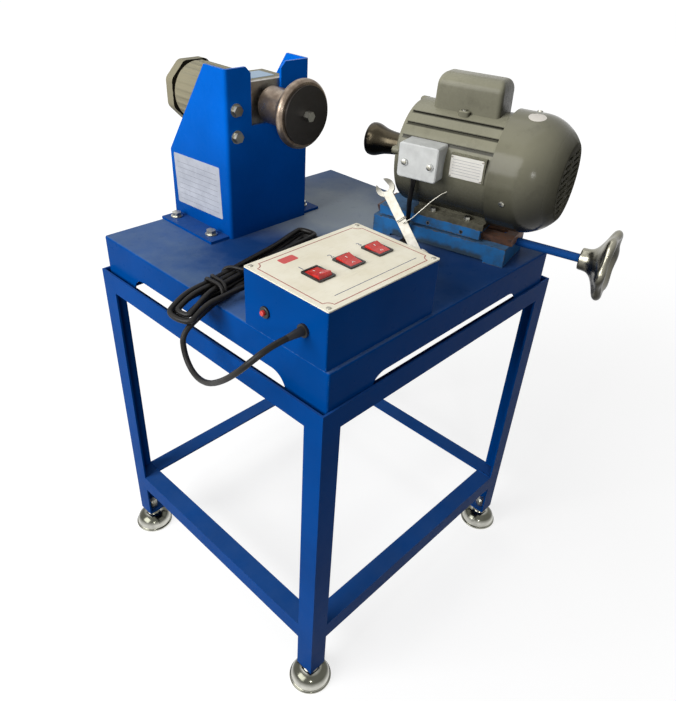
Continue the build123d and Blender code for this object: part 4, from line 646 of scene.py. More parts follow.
def flat_words(name, words, size, middle, wall):
    """Lettering as a mesh: the letters' outline filled and given a wall, then laid level with its middle at a
    point."""
    letters = bpy.data.curves.new(name, "FONT")
    letters.body, letters.size, letters.extrude = words, size, wall / 2
    letters.align_x, letters.align_y = "CENTER", "CENTER"
    letters.resolution_u = 5
    scratch = placed(name, letters)
    mesh = shaped(scratch)
    bpy.data.objects.remove(scratch)
    flat = np.zeros(3 * len(mesh.vertices))
    mesh.vertices.foreach_get("co", flat)
    mesh.vertices.foreach_set("co", (flat.reshape(-1, 3) + middle).ravel())
    mesh.update()
    return placed(name, mesh)


navy_ink = printed("navy_ink", linear(44, 60, 96))
figure_size, figure_wall, figure_y = 0.0115, 0.0001, -137.0
for number, x in (("1", -190.0), ("2", -142.5), ("3", -93.5)):
    middle = on_pan((x, figure_y, box_height)) + figure_wall / 2 * upright
    figure = flat_words("panel_figure_" + number, number, figure_size, middle, figure_wall)
    finished(figure, navy_ink, "panel_cream", "stand")

front_rule = level_print((0.138, 0.0009), 0.0003, panel_top + (0.004, -0.0475, 0))
group_piece("panel_front_rule", [front_rule], navy_ink, "panel_cream", "stand")

rivet_x, rivet_y = 0.0882, 0.0617
rivet_dome = [(0.0, 2.9), (0.35, 2.85), (0.8, 2.35), (1.1, 1.5), (1.22, 0.4)]
rivets = [turned(rivet_dome, panel_top + (x * rivet_x, y * rivet_y, 0.0), upright, 24) for x, y in flips]
aluminium = plated("soft_aluminium", linear(176, 172, 160), 0.45, 0.6, 200.0, 0.0001)
group_piece("panel_rivets", rivets, aluminium, "zinc", "stand")


# The switches: three black housings snapped into the plate, each with a red translucent rocker on a pin. A
# bar and a ring are printed on the two halves of each rocker.

switch_black = moulded("switch_black", linear(24, 24, 25), 0.2, 0.34, 900.0, 0.00005)
dress(switch_black, "rocker_housings", "reset_housing")

rocker_red = Finish("rocker_red")
milky = rocker_red.spread(rocker_red.speckle(130.0, 3.0), 0.3, 0.75)
rocker_red.mottle(linear(196, 40, 34), linear(216, 62, 52), milky, 0.16, 0.3)
rocker_red.feed(Specular_IOR_Level=0.5, Subsurface_Weight=0.25, Subsurface_Scale=1.0)
rocker_red.feed(Subsurface_Radius=(0.004, 0.0008, 0.0006))
rocker_red.relief(rocker_red.speckle(700.0, 2.0), 0.00005, 0.4)
dress(rocker_red, "rocker_left", "rocker_middle", "rocker_right", "reset_button")

white_ink = printed("white_ink", linear(232, 228, 222))
rocker_pitch, rocker_tilt = 49.5, 11.0
rocker_pivot = np.array((-136.3, -160.0, 72.0))
mark_rise, mark_reach, mark_half, mark_line = 6.42, 6.6, 2.2, 0.7
ink_rise = 1000 * ink_wall
ring_section = [
    (0.0, mark_half), (ink_rise, mark_half), (ink_rise, mark_half - mark_line), (0.0, mark_half - mark_line),
]
for word, column, side in (("left", -1, -1), ("middle", 0, 1), ("right", 1, 1)):
    pivot = rocker_pivot + column * rocker_pitch * rightward
    tip = math.radians(side * rocker_tilt)
    lengthwise = math.cos(tip) * backward + math.sin(tip) * upright
    outward = math.cos(tip) * upright - math.sin(tip) * backward
    face_middle, to_mark = pivot + mark_rise * outward, mark_reach * lengthwise
    bar_at, ring_at = on_pan(face_middle + to_mark), on_pan(face_middle - to_mark)
    bar = round_plate((0.0012, 0.0052), 0.0003, ink_wall, bar_at, rightward, lengthwise, ink_bevel)
    ring = turned(ring_section, ring_at, outward, 32)
    group_piece("rocker_bar_" + word, [bar], white_ink, "panel_cream", "rocker_" + word)
    group_piece("rocker_ring_" + word, [ring], white_ink, "panel_cream", "rocker_" + word, closed=True)


# The mains cord: round black cord, 7.2 mm thick, out of a rubber sleeve in the box's side. It falls in one
# loop beside the pan, climbs to a flat hank of spare cord and ends in a moulded two-pin plug.

dress(black_rubber, "cord_gland")
cord_wide, cord_length = 0.0072, 2.15


def cord_line(name, points, diameter):
    """A cord: one open spline of order 3 with the route's points as its control points, thickened to a round
    tube."""
    curve = bpy.data.curves.new(name, "CURVE")
    curve.dimensions = "3D"
    spline = curve.splines.new("NURBS")
    spline.points.add(len(points) - 1)
    spline.points.foreach_set("co", np.c_[points, np.ones(len(points))].ravel())
    spline.order_u = 3
    spline.use_endpoint_u = True
    spline.resolution_u = 10
    curve.bevel_depth, curve.bevel_resolution, curve.use_fill_caps = diameter / 2, 5, True
    return placed(name, curve)


cord_sheath = Finish("cord_sheath")
rubbed = cord_sheath.spread(cord_sheath.speckle(48.0, 5.0, 0.65), 0.32, 0.72)
cord_sheath.mottle(linear(14, 13, 12), linear(30, 28, 26), rubbed, 0.34, 0.58)
cord_sheath.feed(Specular_IOR_Level=0.2)
cord_sheath.relief(cord_sheath.speckle(1300.0, 3.0), 0.0001, 0.5)

loop_route = on_pan([
    (-260.0, -190.2, 37.5), (-280.0, -190.2, 37.5), (-300.0, -185.0, 27.0), (-310.0, -170.0, 7.0),
    (-309.0, -141.0, -21.0), (-304.0, -108.0, -46.0), (-299.0, -80.0, -57.0), (-295.0, -58.0, -55.0),
    (-292.0, -43.0, -40.0), (-289.0, -38.0, -17.0),
])
hank_turn, hank_x = math.radians(11.0), -149.0


def on_hank(points):
    """Millimetres along, across and above the hank to metres in the machine's frame: a turn about its
    middle."""
    h, w, z = np.moveaxis(np.asarray(points, float), -1, 0)
    x, y = level_turn(h, w, hank_turn)
    return on_pan(np.stack((hank_x + x, y, z), -1))


low, high = 3.9, 12.5
hank_half, hank_lip, waist_half = 122.0, 88.0, 68.0
hank_fall = math.radians(26.0)
inner_bight, outer_bight, short_bight = 10.0, 18.8, 1.2
inner_waist, outer_waist, climb_side = 4.4, 13.2, 17.6
plug_along, plug_side, plug_sleeve = 10.0, 39.0, 7.2


def sunk(along):
    """How far the hank hangs down left of the pan's edge: by the square of the distance from the edge."""
    return max(0.0, -along - hank_lip) ** 2 / (2 * (hank_half - hank_lip)) * math.tan(hank_fall)


def left_marks(left, waist, up):
    """Points from a run's left end to its neck: eased in from bight to waist and hanging beyond the pan's
    edge."""
    along = np.array((-hank_half, -(hank_half + hank_lip) / 2, -hank_lip, -waist_half))
    share = (-along - waist_half) / (hank_half - waist_half)
    eased = np.where(share < 0.5, 2 * share**2, 1 - 2 * (1 - share) ** 2)
    return [(h, w, up - sunk(h)) for h, w in zip(along, waist + (left - waist) * eased)]


# For each run: its offset at the left end, at the waist and at the right end, then its height left and right
hank_runs = [
    (-climb_side, -outer_waist, -outer_bight, low, low),
    (outer_bight, outer_waist, outer_bight, low, low),
    (-short_bight, -inner_waist, -inner_bight, low, low),
    (inner_bight, inner_waist, inner_bight, high, low),
    (-inner_bight, -inner_waist, -inner_bight, high, high),
    (outer_bight, outer_waist, outer_bight, high, high),
]
climb_from = -112.2
hank_route = [
    (climb_from, -climb_side, low - sunk(climb_from)), (-94.2, -climb_side, low), (-73.2, -climb_side, low),
]
for number, (left, waist, right, left_up, right_up) in enumerate(hank_runs):
    marks = left_marks(left, waist, left_up)
    if number == 0:
        marks = [(-66.0, left, low), (-56.0, (left + waist) / 2, low), (-46.0, waist, low)]
    marks += [
        (-waist_half / 3, waist, left_up), (waist_half / 3, waist, right_up), (waist_half, waist, right_up),
        ((waist_half + hank_half) / 2, (waist + right) / 2, right_up), (hank_half, right, right_up),
    ]
    goes_right = number % 2 == 0
    last_run = number + 1 == len(hank_runs)
    joining = -outer_bight if last_run else hank_runs[number + 1][2 if goes_right else 0]
    reach = abs(joining - (right if goes_right else left)) / 2
    if goes_right:
        hank_route += marks + [(hank_half + reach, right, right_up), (hank_half + reach, joining, right_up)]
    else:
        crown = -hank_half - reach * math.cos(hank_fall)
        crown_up = left_up - sunk(-hank_half) - reach * math.sin(hank_fall)
        hank_route += marks[::-1] + [(crown, left, crown_up), (crown, joining, crown_up)]
tail_along, tail_side = (plug_along - hank_half) / 2, -(outer_bight + plug_side) / 2
plug_foot = (plug_along + plug_sleeve, -plug_side, high)
hank_route += left_marks(-outer_bight, tail_side, high)[:3]
hank_route += [(tail_along, tail_side, high), (-23.0, -37.5, high), (plug_along, -plug_side, high), plug_foot]
mains_cord = cord_line("mains_cord", np.concatenate((loop_route, on_hank(hank_route))), cord_wide)
finished(mains_cord, cord_sheath, "cord_black", "stand", "power_cord", "cord_hank")

plug_from, plug_body = on_hank(plug_foot), 0.0462
plug_axis = np.array((math.cos(hank_turn), math.sin(hank_turn), 0.0))
plug_black = Finish("plug_black")
pin = plug_black.maths("GREATER_THAN", plug_black.reach(plug_from, plug_axis), plug_body)
plug_black.coat(linear(26, 25, 25))
plug_black.coat(linear(212, 196, 150), pin)
matt = plug_black.spread(plug_black.speckle(60.0, 4.0, 0.6), 0.3, 0.7, 0.3, 0.48)
plug_black.feed(Metallic=pin, Roughness=matt)
plug_black.relief(plug_black.speckle(1100.0, 2.0), 0.00008, 0.5)
dress(plug_black, "mains_plug")
rib_section = np.array([(0.0, 4.4), (0.4, 5.5), (1.6, 5.5), (2.0, 4.4)])
sleeve_ribs = [turned(rib_section + (at, 0), plug_from, plug_axis, 28) for at in (2.0, 5.2, 8.4, 11.6)]
plug_ribs = group_piece("plug_ribs", sleeve_ribs, black_rubber, "cord_black", "stand")

tie_radius, tie_half, tie_top, tie_clear, tie_flat = 2.4, 19.6, 18.9, 0.15, 0.55


def hank_tie(along, slant):
    """A turn of cord tied over the hank: an arch across it, flattened on top by raising its cosine and sine
    to a power below 1, that leans along the hank and goes under the outer strands at both feet."""
    share = np.linspace(0, math.pi, 41)
    across = tie_half * np.sign(np.cos(share)) * np.abs(np.cos(share)) ** tie_flat
    up = tie_radius + tie_clear + (tie_top - tie_radius) * np.abs(np.sin(share)) ** tie_flat
    path = on_hank(np.c_[along + slant * np.cos(share), across, up])
    return round_bar(path, np.full(len(path), tie_radius / 1000), 14)


ties = [hank_tie(along, slant) for along, slant in ((-74.0, 6.0), (-66.0, 9.0), (-28.0, -8.0))]
hank_ties = group_piece("hank_ties", ties, cord_sheath, "cord_black", "stand", smooth=60.0)


# The headstock bracket: 4 mm sheet bent round three sides with two horns, bolted down through its flanges. A
# bare white label with ruled lines is stuck on its left cheek.

bracket_blue = sprayed_enamel("bracket_enamel", linear(3, 98, 202), 0.2, dust_and_sheen=0.2)
dress(bracket_blue, "headstock_bracket")
dress(zinc, "bracket_bolts", "carrier_bolts")

# Painted shade and light: the sheet is darker at its foot and lighter towards the top, up to a height above
# the pan
painted_shade_height = 0.19
above_pan = bracket_blue.reach(pan_top * upright, upright)
bracket_blue.shade(bracket_blue.spread(above_pan, 0.0, painted_shade_height, 0.48, 1.2))


def ruled(rows, size, wall, middle, across, up):
    """Plain ruled lines on an upright label: a thin bar at each row above or below the label's middle."""
    return [round_plate(size, 0.0001, wall, middle + up * row, across, up, 0.00002) for row in rows]


label_tilt = math.radians(2.5)
label_along = math.sin(label_tilt) * upright - math.cos(label_tilt) * backward
label_up = math.cos(label_tilt) * upright + math.sin(label_tilt) * backward
label_middle, label_size, label_wall = on_pan((-104.0, 176.0, 61.0)), (0.110, 0.076), 0.0003
vinyl = Finish("white_vinyl")
soiled = vinyl.spread(vinyl.speckle(40.0, 6.0, 0.68), 0.4, 0.8)
vinyl.mottle(linear(176, 180, 190), linear(146, 150, 161), soiled, 0.34, 0.55)
vinyl.feed(Specular_IOR_Level=0.35)
vinyl.relief(vinyl.speckle(160.0, 3.0), 0.00012, 0.5)
label = round_plate(label_size, 0.002, label_wall, label_middle, label_along, label_up)
group_piece("cheek_label", [label], vinyl, "panel_cream", "stand")

label_face = label_middle - label_wall * rightward
rules = ruled(np.linspace(0.026, -0.030, 8), (0.096, 0.0005), 0.00007, label_face, label_along, label_up)
grey_ink = printed("grey_ink", linear(98, 102, 116))
group_piece("cheek_label_rules", rules, grey_ink, "panel_cream", "stand")


# The gear motor: a bought unit in beige enamel with a ribbed barrel and a plain printed plate, bolted through
# a steel carrier plate behind the bracket's front. Its shaft carries the blade flange, turned and browned,
# with a black clamp disc drawn up by a hex screw.

unit_beige = linear(142, 136, 114)
beige = sprayed_enamel("gear_motor_beige", unit_beige, 0.34)
dress(beige, "gearbox", "gear_motor")
cover_beige = sprayed_enamel("gear_cover_beige", unit_beige, 0.34)
dress(cover_beige, "gear_motor_cover")

# Painted shade: the end cover's faces that look forward, on its inner side where its fan blows out, are
# painted nearly black
cover_beige.coat(linear(24, 22, 17), cover_beige.spread(cover_beige.looks(-backward), 0.8, 0.95, 0.0, 0.95))


def ribbed_sleeve(foot, reach, radius, ribs, rise, clear=0.1, tuck=0.4):
    """Rings of a ribbed sleeve about an axis along y: its radius rises and falls with the cosine of the angle
    times the count of ribs, flattened in the hollows, and both ends run out under the body's skin. All in
    millimetres."""
    angle = full_turn(10 * ribs)[None]
    along = np.array((0.0, 0.002, 0.025, 0.2, 0.4, 0.6, 0.8, 0.975, 0.998, 1.0))[:, None]
    height = np.array((-1.0, 0.05, 1.0, 1.0, 1.0, 1.0, 1.0, 1.0, 0.05, -1.0))[:, None]
    swell = radius + clear + rise * height * np.clip(np.cos(ribs * angle), 0, 1) ** 0.6
    swell = np.where(height < 0, radius - tuck, swell)
    ring = np.stack((swell * np.cos(angle), along * reach + 0 * angle, swell * np.sin(angle)), -1)
    return on_pan(foot + ring)


unit_x, body_length, body_radius, rib_count, rib_rise = -27.0, 101.0, 43.0, 26, 1.3
ribs = ribbed_sleeve((unit_x, 165.0, 168.0), body_length, body_radius, rib_count, rib_rise)
group_piece("gear_motor_ribs", [ribs], beige, "gear_beige", "stand", smooth=50.0)
plate_middle = on_pan((unit_x, 138.0, 213.0))
plate = round_plate((0.052, 0.034), 0.003, 0.0004, plate_middle, rightward, backward)
pale_print = printed("pale_blue_print", linear(140, 168, 192))
group_piece("gearbox_top_plate", [plate], pale_print, "gear_beige", "stand")


def turned_metal(name, bright, dark, foot, axis, low, high, spacing=0.0009, metal=1.0):
    """Metal off a lathe: the tool's ridges are a sine of the distance from the axis and along it, that many
    metres from ridge to ridge, and the metal is stained in patches that also dull it."""
    finish = Finish(name)
    stain = finish.spread(finish.speckle(75.0, 6.0, 0.66), 0.32, 0.7)
    finish.mottle(bright, dark, stain, low, high)
    across = finish.vector("CROSS_PRODUCT", finish.vector("SUBTRACT", finish.place, foot), axis)
    path = finish.plus(finish.vector("LENGTH", across), finish.reach(foot, axis))
    ridge = finish.times(finish.maths("SINE", finish.times(path, 2 * math.pi / spacing)), 0.5)
    finish.feed(Metallic=metal)
    finish.relief(finish.plus(ridge, finish.speckle(700.0, 3.0)), 0.00006, 0.5)
    return finish


spindle = (on_pan((unit_x, 60.0, 181.5)), backward)
ground = (linear(176, 174, 168), linear(120, 112, 100))
dress(turned_metal("ground_steel", *ground, *spindle, 0.25, 0.45), "blade_spindle", "carrier_plate")
browned = (linear(150, 136, 121), linear(94, 80, 68))
dress(turned_metal("browned_flange", *browned, *spindle, 0.24, 0.42, metal=0.85), "blade_flange")
blackened = (linear(38, 33, 30), linear(24, 21, 19))
dress(turned_metal("black_disc", *blackened, *spindle, 0.3, 0.46, metal=0.35), "clamp_disc")
dress(zinc, "flange_screw")


# The slide: a blue cast base and saddle with the paint knocked off their edges, and between them a dovetail
# bar that has browned with oil. Grub screws in the saddle's side press a gib strip against the bar.

slide_u, base_v, saddle_v, screw_z = 120.0, -133.0, -117.0, 27.5
worn_blue, edge_wear = linear(43, 103, 159), 0.0016
base_middle, base_half = on_slide((slide_u, base_v, 13.75)), (0.041, 0.105, 0.01375)
saddle_middle, saddle_half = on_slide((slide_u, saddle_v, 38.5)), (0.041, 0.080, 0.007)
base_wear = (base_middle, base_half, skew, edge_wear)
saddle_wear = (saddle_middle, saddle_half, skew, edge_wear)
base_blue = sprayed_enamel("base_enamel", worn_blue, 0.36, base_wear, linear(92, 84, 74), 0.3)
saddle_blue = sprayed_enamel("saddle_enamel", worn_blue, 0.36, saddle_wear, linear(96, 88, 78), 0.3)
dress(base_blue, "slide_base")
dress(saddle_blue, "saddle")

# Sludge from the grinding clings to both in blotches. A painted shadow lies low on the base between its two
# feet and along the saddle's lower edge
sludge_and_shadow_grey, shadow_half = linear(56, 62, 60), 0.070
for blue, height, share in ((base_blue, 0.0145, 0.85), (saddle_blue, 0.036, 0.45)):
    blotch = blue.spread(blue.speckle(38.0, 6.0, 0.68), 0.46, 0.66, 0.0, 0.55)
    apart = blue.maths("ABSOLUTE", blue.reach(base_middle, slide_along))
    shadow_span = blue.spread(apart, shadow_half, shadow_half + 0.006, share, 0.0)
    ragged = blue.ragged(blue.speckle(90.0, 4.0), 0.5, 0.012)
    rise = blue.plus(blue.reach(pan_top * upright, upright), ragged)
    shadow_low = blue.spread(rise, height - 0.006, height, 1.0, 0.0)
    blue.coat(sludge_and_shadow_grey, blue.maths("MAXIMUM", blotch, blue.times(shadow_span, shadow_low)))

browned_bar = Finish("browned_bar")
rust = browned_bar.spread(browned_bar.speckle(90.0, 7.0, 0.7), 0.36, 0.64)
browned_bar.mottle(linear(74, 56, 48), linear(112, 76, 54), rust, 0.42, 0.78)
browned_bar.feed(Metallic=0.25)
browned_bar.relief(browned_bar.speckle(420.0, 5.0, 0.7), 0.00035, 0.6)
dress(browned_bar, "dovetail_bar")

feed_line = (on_slide((slide_u, base_v, screw_z)), slide_along)
dull_steel = turned_metal("dull_steel", linear(150, 148, 142), linear(98, 92, 84), *feed_line, 0.3, 0.5)
dress(dull_steel, "saddle_gib", "gib_screws")
nut_bronze = turned_metal("nut_bronze", linear(176, 132, 72), linear(120, 88, 50), *feed_line, 0.25, 0.45)
dress(nut_bronze, "lead_nut")

# Each grub screw's hex hole: six-sided rings that step in from its rim, painted dark as painted shade in the
# socket
hex_hole = [(0.06, 1.7), (0.06, 1.462), (0.02, 1.428)]
grub_u, grub_z, grub_pitch = 79.0, 36.5, 52.0
grub_spots = on_slide([(grub_u, saddle_v + column * grub_pitch, grub_z) for column in (-1, 0, 1)])
grub_holes = [turned(hex_hole, spot, -slide_across, 6) for spot in grub_spots]
socket_shade_steel = plated("socket_shade_steel", linear(58, 56, 54), 0.4, 0.6, 150.0, 0.0001)
group_piece("grub_screw_holes", grub_holes, socket_shade_steel, "zinc", "saddle", smooth=20.0)


# The feed screw: its rod is painted blue in front of the slide and carries a chromed handwheel, cast with a
# dished web and finger hollows round its rim.

dress(sprayed_enamel("rod_enamel", linear(22, 74, 142), 0.3), "lead_screw")

# Half section of the wheel: place along the screw and radius, round its bore, hub, flared back, rim and
# dished front
wheel_section = np.array([
    (-331.0, 6.2), (-331.0, 14.0), (-332.2, 15.4), (-339.0, 15.4), (-345.0, 16.6), (-350.5, 21.5),
    (-354.6, 28.0), (-358.0, 36.0), (-360.6, 43.0), (-363.4, 47.8), (-368.0, 50.0), (-372.4, 48.0),
    (-374.6, 43.0), (-373.6, 37.6), (-368.0, 29.0), (-360.0, 20.0), (-354.0, 14.4), (-352.0, 11.0),
    (-352.0, 6.2),
])
wheel_lobes, lobe_depth, lobe_pinch = 6, 5.5, 0.3
web_radius, web_to_rim, rim_middle = 26.0, 20.0, -367.5


def rounded_off(loop):
    """A closed loop with its corners cut: each side is cut at a quarter and three quarters of its length."""
    after = np.roll(loop, -1, axis=0)
    return np.stack((0.75 * loop + 0.25 * after, 0.25 * loop + 0.75 * after), 1).reshape(-1, 2)


def lobed_wheel(section):
    """Rings of the wheel: the half section is turned about the screw, and towards the rim the radius sinks
    and the rim thins by the cosine of the angle times the count of lobes, which leaves a shallow hollow for
    each finger."""
    v, r = section.T[:, :, None]
    angle = full_turn(144)[None]
    near_rim = np.clip((r - web_radius) / web_to_rim, 0, 1) ** 2
    hollow = near_rim * (0.5 - 0.5 * np.cos(wheel_lobes * angle))
    v = v + lobe_pinch * hollow * (rim_middle - v)
    r = r - lobe_depth * hollow
    return on_slide(np.stack((slide_u + r * np.cos(angle), v, screw_z + r * np.sin(angle)), -1))


wheel = lobed_wheel(rounded_off(rounded_off(wheel_section)))
# Strong painted shade and painted reflection: faces that turn away from up and left go nearly black
chrome = plated("chrome_plate", linear(164, 161, 145), 0.24, 0.38, 45.0, 0.00008, 0.14, 0.1)
group_piece("handwheel_shell", [wheel], chrome, "chrome", "feed_screw", "handwheel", closed=True, smooth=50.0)


# The grinding motor: a cast barrel with its end bell, all in thick olive-grey enamel over a rough casting,
# its feet screwed to the saddle. A bare aluminium plate is riveted to the pad on its side.

motor_z = 126.0
motor_line = (on_slide((slide_u, -138.0, motor_z)), slide_along)
cast_dirt, motor_oil, groove_shade = linear(62, 60, 50), linear(52, 47, 40), linear(34, 33, 27)


def cast_enamel(name, colour, low, high, rough, grooves=(), shine=0.12):
    """Thick enamel over a casting: the casting's lumps show through, and the gloss sinks in its hollows. A
    band of painted shade lies along each groove, by the difference of a point's angle round the motor from
    the groove's angle. Oil has darkened the feet, and painted shade darkens the faces that look down."""
    finish = Finish(name)
    lumps = finish.speckle(150.0, 4.0, 0.55)
    finish.coat(darker(colour, 0.82))
    finish.coat(colour, finish.spread(finish.speckle(14.0, 4.0), 0.3, 0.7))
    finish.coat(cast_dirt, finish.times(finish.spread(finish.speckle(30.0, 6.0, 0.7), 0.55, 0.8), 0.35))
    rise = finish.reach(motor_line[0], upright)
    bearing = finish.maths("ARCTAN2", rise, finish.reach(motor_line[0], -slide_across))
    oily = finish.times(finish.spread(rise, -0.078, -0.045, 0.75, 0.0), finish.spread(lumps, 0.3, 0.6, 0.5))
    finish.coat(motor_oil, oily)
    # Painted shade in a band along each groove
    for angle in grooves:
        apart = finish.maths("ABSOLUTE", finish.maths("SUBTRACT", bearing, math.radians(angle)))
        finish.coat(groove_shade, finish.spread(apart, 0.026, 0.046, 0.8, 0.0))
    # Painted shade: darker as a face turns away from up
    finish.shade(finish.spread(finish.looks((-0.28, 0.22, 0.93)), -0.4, 0.7, 0.14, 1.0))
    finish.feed(Roughness=finish.spread(lumps, 0.3, 0.7, low, high), Specular_IOR_Level=shine)
    finish.relief(finish.plus(lumps, finish.times(finish.speckle(700.0, 2.0), 0.25)), rough, 0.5)
    return finish


olive_grey = linear(140, 138, 119)
groove_angles = (58.0, 43.0, 28.0, 122.0, 137.0, 152.0)
dress(cast_enamel("motor_enamel", olive_grey, 0.2, 0.34, 0.0005, groove_angles), "motor_frame")
bell_grey = cast_enamel("bell_enamel", olive_grey, 0.2, 0.34, 0.0005)
dress(bell_grey, "drive_end_bell")
dress(zinc, "motor_foot_bolts")
stator_iron = turned_metal("stator_iron", linear(104, 104, 106), linear(70, 70, 72), *motor_line, 0.4, 0.6)
dress(stator_iron, "stator")
shaft_steel = turned_metal("shaft_steel", linear(168, 166, 162), linear(120, 116, 110), *motor_line, 0.2, 0.4)
dress(shaft_steel, "rotor_shaft", "rotor_bearings")

face_out = -slide_across
name_middle, name_size, name_wall = on_slide((46.5, -173.5, 137.5)), (0.046, 0.029), 0.0005
name_metal = Finish("name_plate_aluminium")
drawn_out = name_metal.node("Mapping", {0: name_metal.place, 3: (1.0, 1.0, 30.0)}).outputs[0]
brushed = name_metal.speckle(120.0, 4.0, 0.6, drawn_out)
name_metal.coat(linear(186, 184, 178))
name_metal.coat(linear(222, 221, 216), brushed)
name_metal.feed(Metallic=0.6, Roughness=name_metal.spread(brushed, 0.3, 0.7, 0.34, 0.5))
name_metal.relief(brushed, 0.00003, 0.4)
name_plate = round_plate(name_size, 0.0012, name_wall, name_middle, -slide_along, upright)
group_piece("motor_name_plate", [name_plate], name_metal, "zinc", "saddle")
name_face = name_middle + name_wall * face_out
name_rows = np.linspace(0.0095, -0.0095, 6)
name_lines = ruled(name_rows, (0.040, 0.0004), 0.00006, name_face, -slide_along, upright)
group_piece("motor_name_plate_lines", name_lines, grey_ink, "zinc", "saddle")
pin_dome = [(0.0, 1.4), (0.3, 1.35), (0.62, 0.9), (0.75, 0.2)]
pin_along, pin_up = 0.0213 * slide_along, 0.0126 * upright
pins = [turned(pin_dome, name_face - x * pin_along + y * pin_up, face_out, 18) for x, y in flips]
group_piece("motor_name_plate_pins", pins, aluminium, "zinc", "saddle")


# The motor's fittings: a drawn fan cover, slotted over a black plastic fan and with a round paper patch stuck
# on it, a capacitor housing, a moulded grey terminal box and a blackened arbor on the shaft. Slotted screws
# hold the cover, the capacitor's lugs and the terminal lid.

cover_olive = linear(124, 122, 104)
cover_grey = cast_enamel("fan_cover_enamel", cover_olive, 0.13, 0.22, 0.00014, shine=0.14)
dress(cover_grey, "fan_cover")

# The cover's slotted end, where its faces look forward along the slide, is matt and painted darker
uneven = cover_grey.spread(cover_grey.speckle(90.0, 4.0), 0.2, 0.6, 0.7, 1.0)
slotted_end = cover_grey.times(cover_grey.spread(cover_grey.looks(-slide_along), 0.6, 0.95), uneven)
cover_grey.coat(linear(58, 56, 46), cover_grey.times(slotted_end, 0.7))
glossy = cover_grey.skin.inputs["Roughness"].links[0].from_socket
cover_grey.feed(Roughness=cover_grey.node("Mix", {0: slotted_end, 2: glossy, 3: 0.95}).outputs[0])

dress(moulded("fan_plastic", linear(32, 32, 33), 0.4, 0.6, 900.0, 0.0001), "cooling_fan")
terminal_grey = moulded("terminal_grey", linear(204, 206, 204), 0.36, 0.52, 1000.0, 0.0001)
dress(terminal_grey, "terminal_box", "terminal_lid")


def drawn_box(middle, size, foot, top, corner, side_round, end_round, lean):
    """Rings of a drawn box: a rounded rectangle that leans in a little as it rises, then closes over its top
    by a quarter turn whose reach is the sides' round across and the ends' round along. All in millimetres on
    the slide."""
    steps, side_rings = 9, 4
    quarter = np.linspace(0, 0.5 * math.pi, steps)
    turn = np.concatenate([quarter + side * 0.5 * math.pi for side in range(4)])
    sign_u, sign_v = np.repeat((1, -1, -1, 1), steps), np.repeat((1, 1, -1, -1), steps)
    shoulder = top - side_round
    heights = np.r_[np.linspace(foot, shoulder, side_rings), shoulder + side_round * np.sin(quarter[1:])]
    over = np.r_[np.zeros(side_rings), 1 - np.cos(quarter[1:])]
    inset = lean * (heights - foot) / (top - foot)
    half_u = (size[0] / 2 - inset - side_round * over)[:, None]
    half_v = (size[1] / 2 - inset - end_round * over)[:, None]
    bend = (corner * (1 - 0.5 * over))[:, None]
    u = middle[0] + sign_u * (half_u - bend) + bend * np.cos(turn)
    v = middle[1] + sign_v * (half_v - bend) + bend * np.sin(turn)
    return on_slide(np.stack((u, v, heights[:, None] + 0 * u), -1))


housing_v, housing_foot, housing_top = -142.5, 188.0, 239.0
lug_top, lug_wall = 197.5, 9.0
housing = drawn_box((slide_u, housing_v), (50.0, 95.0), housing_foot, housing_top, 6.0, 16.0, 9.0, 1.2)
lug_foot = on_slide((slide_u, housing_v, lug_top - lug_wall))
lug_bar = round_plate((0.066, 0.016), 0.0045, lug_wall / 1000, lug_foot, slide_across, slide_along, 0.0012)
shell = [housing, lug_bar]
group_piece("capacitor_shell", shell, bell_grey, "motor_grey", "saddle", "capacitor_housing", smooth=35.0)


def slotted_head(middle, axis, radius, height, turn, slot=0.16, depth=0.45):
    """Rings of a slotted screw head: columns across the slot, each as long as the head's circle there. Along
    a column the top follows a low dome and drops by the slot's depth between its two walls, then the ring
    returns along the foot."""
    axis, side, other = beside(axis)
    first = math.cos(turn) * side + math.sin(turn) * other
    second = np.cross(axis, first)
    steps = 7
    outer = np.linspace(-0.985, -slot, steps)
    column = np.concatenate((outer, (-slot, slot), -outer[::-1]))[:, None]
    half = np.sqrt(1 - column**2)
    across = np.linspace(-1, 1, 11)[None] * half
    dome = np.sqrt(np.clip(1 - 0.55 * (column**2 + across**2), 0, 1))
    cut = np.r_[np.zeros(steps), 1, 1, np.zeros(steps)][:, None]
    top = height * (dome - depth * cut)
    across = radius * np.concatenate((across, across[:, ::-1]), axis=1)
    rise = np.concatenate((top, np.zeros_like(top)), axis=1)
    along = radius * column + 0 * across
    return middle + along[..., None] * first + across[..., None] * second + rise[..., None] * axis


def round_motor(turn, along, radius):
    """Points round the motor in the slide's measures: an angle from level left upwards, a place along the
    axis and a radius, both in millimetres."""
    return np.stack((slide_u - radius * np.cos(turn), along, motor_z + radius * np.sin(turn)), -1)


cover_radius, cover_screw_v, cover_round, cover_level = 79.0, -229.0, 61.1, -238.0
screws = []
for angle in (-16.0, 104.0, 224.0):
    turn = math.radians(angle)
    outward = math.sin(turn) * upright - math.cos(turn) * slide_across
    spot = on_slide(round_motor(turn, cover_screw_v, cover_radius))
    screws.append(slotted_head(spot, outward, 0.0038, 0.0018, 0.6))
for u, turn in ((91.0, 0.4), (149.0, 1.2)):
    screws.append(slotted_head(on_slide((u, housing_v, lug_top)), upright, 0.0032, 0.0022, turn))
lid_u, lid_z = 23.0, 136.0
for v, turn in ((-131.0, 0.3), (-94.0, 2.0)):
    screws.append(slotted_head(on_slide((lid_u, v, lid_z)), face_out, 0.0036, 0.0018, turn))
group_piece("motor_fitting_screws", screws, zinc, "zinc", "saddle", smooth=30.0)

patch_turn, patch_v, patch_half = math.radians(79.0), -236.0, 11.5


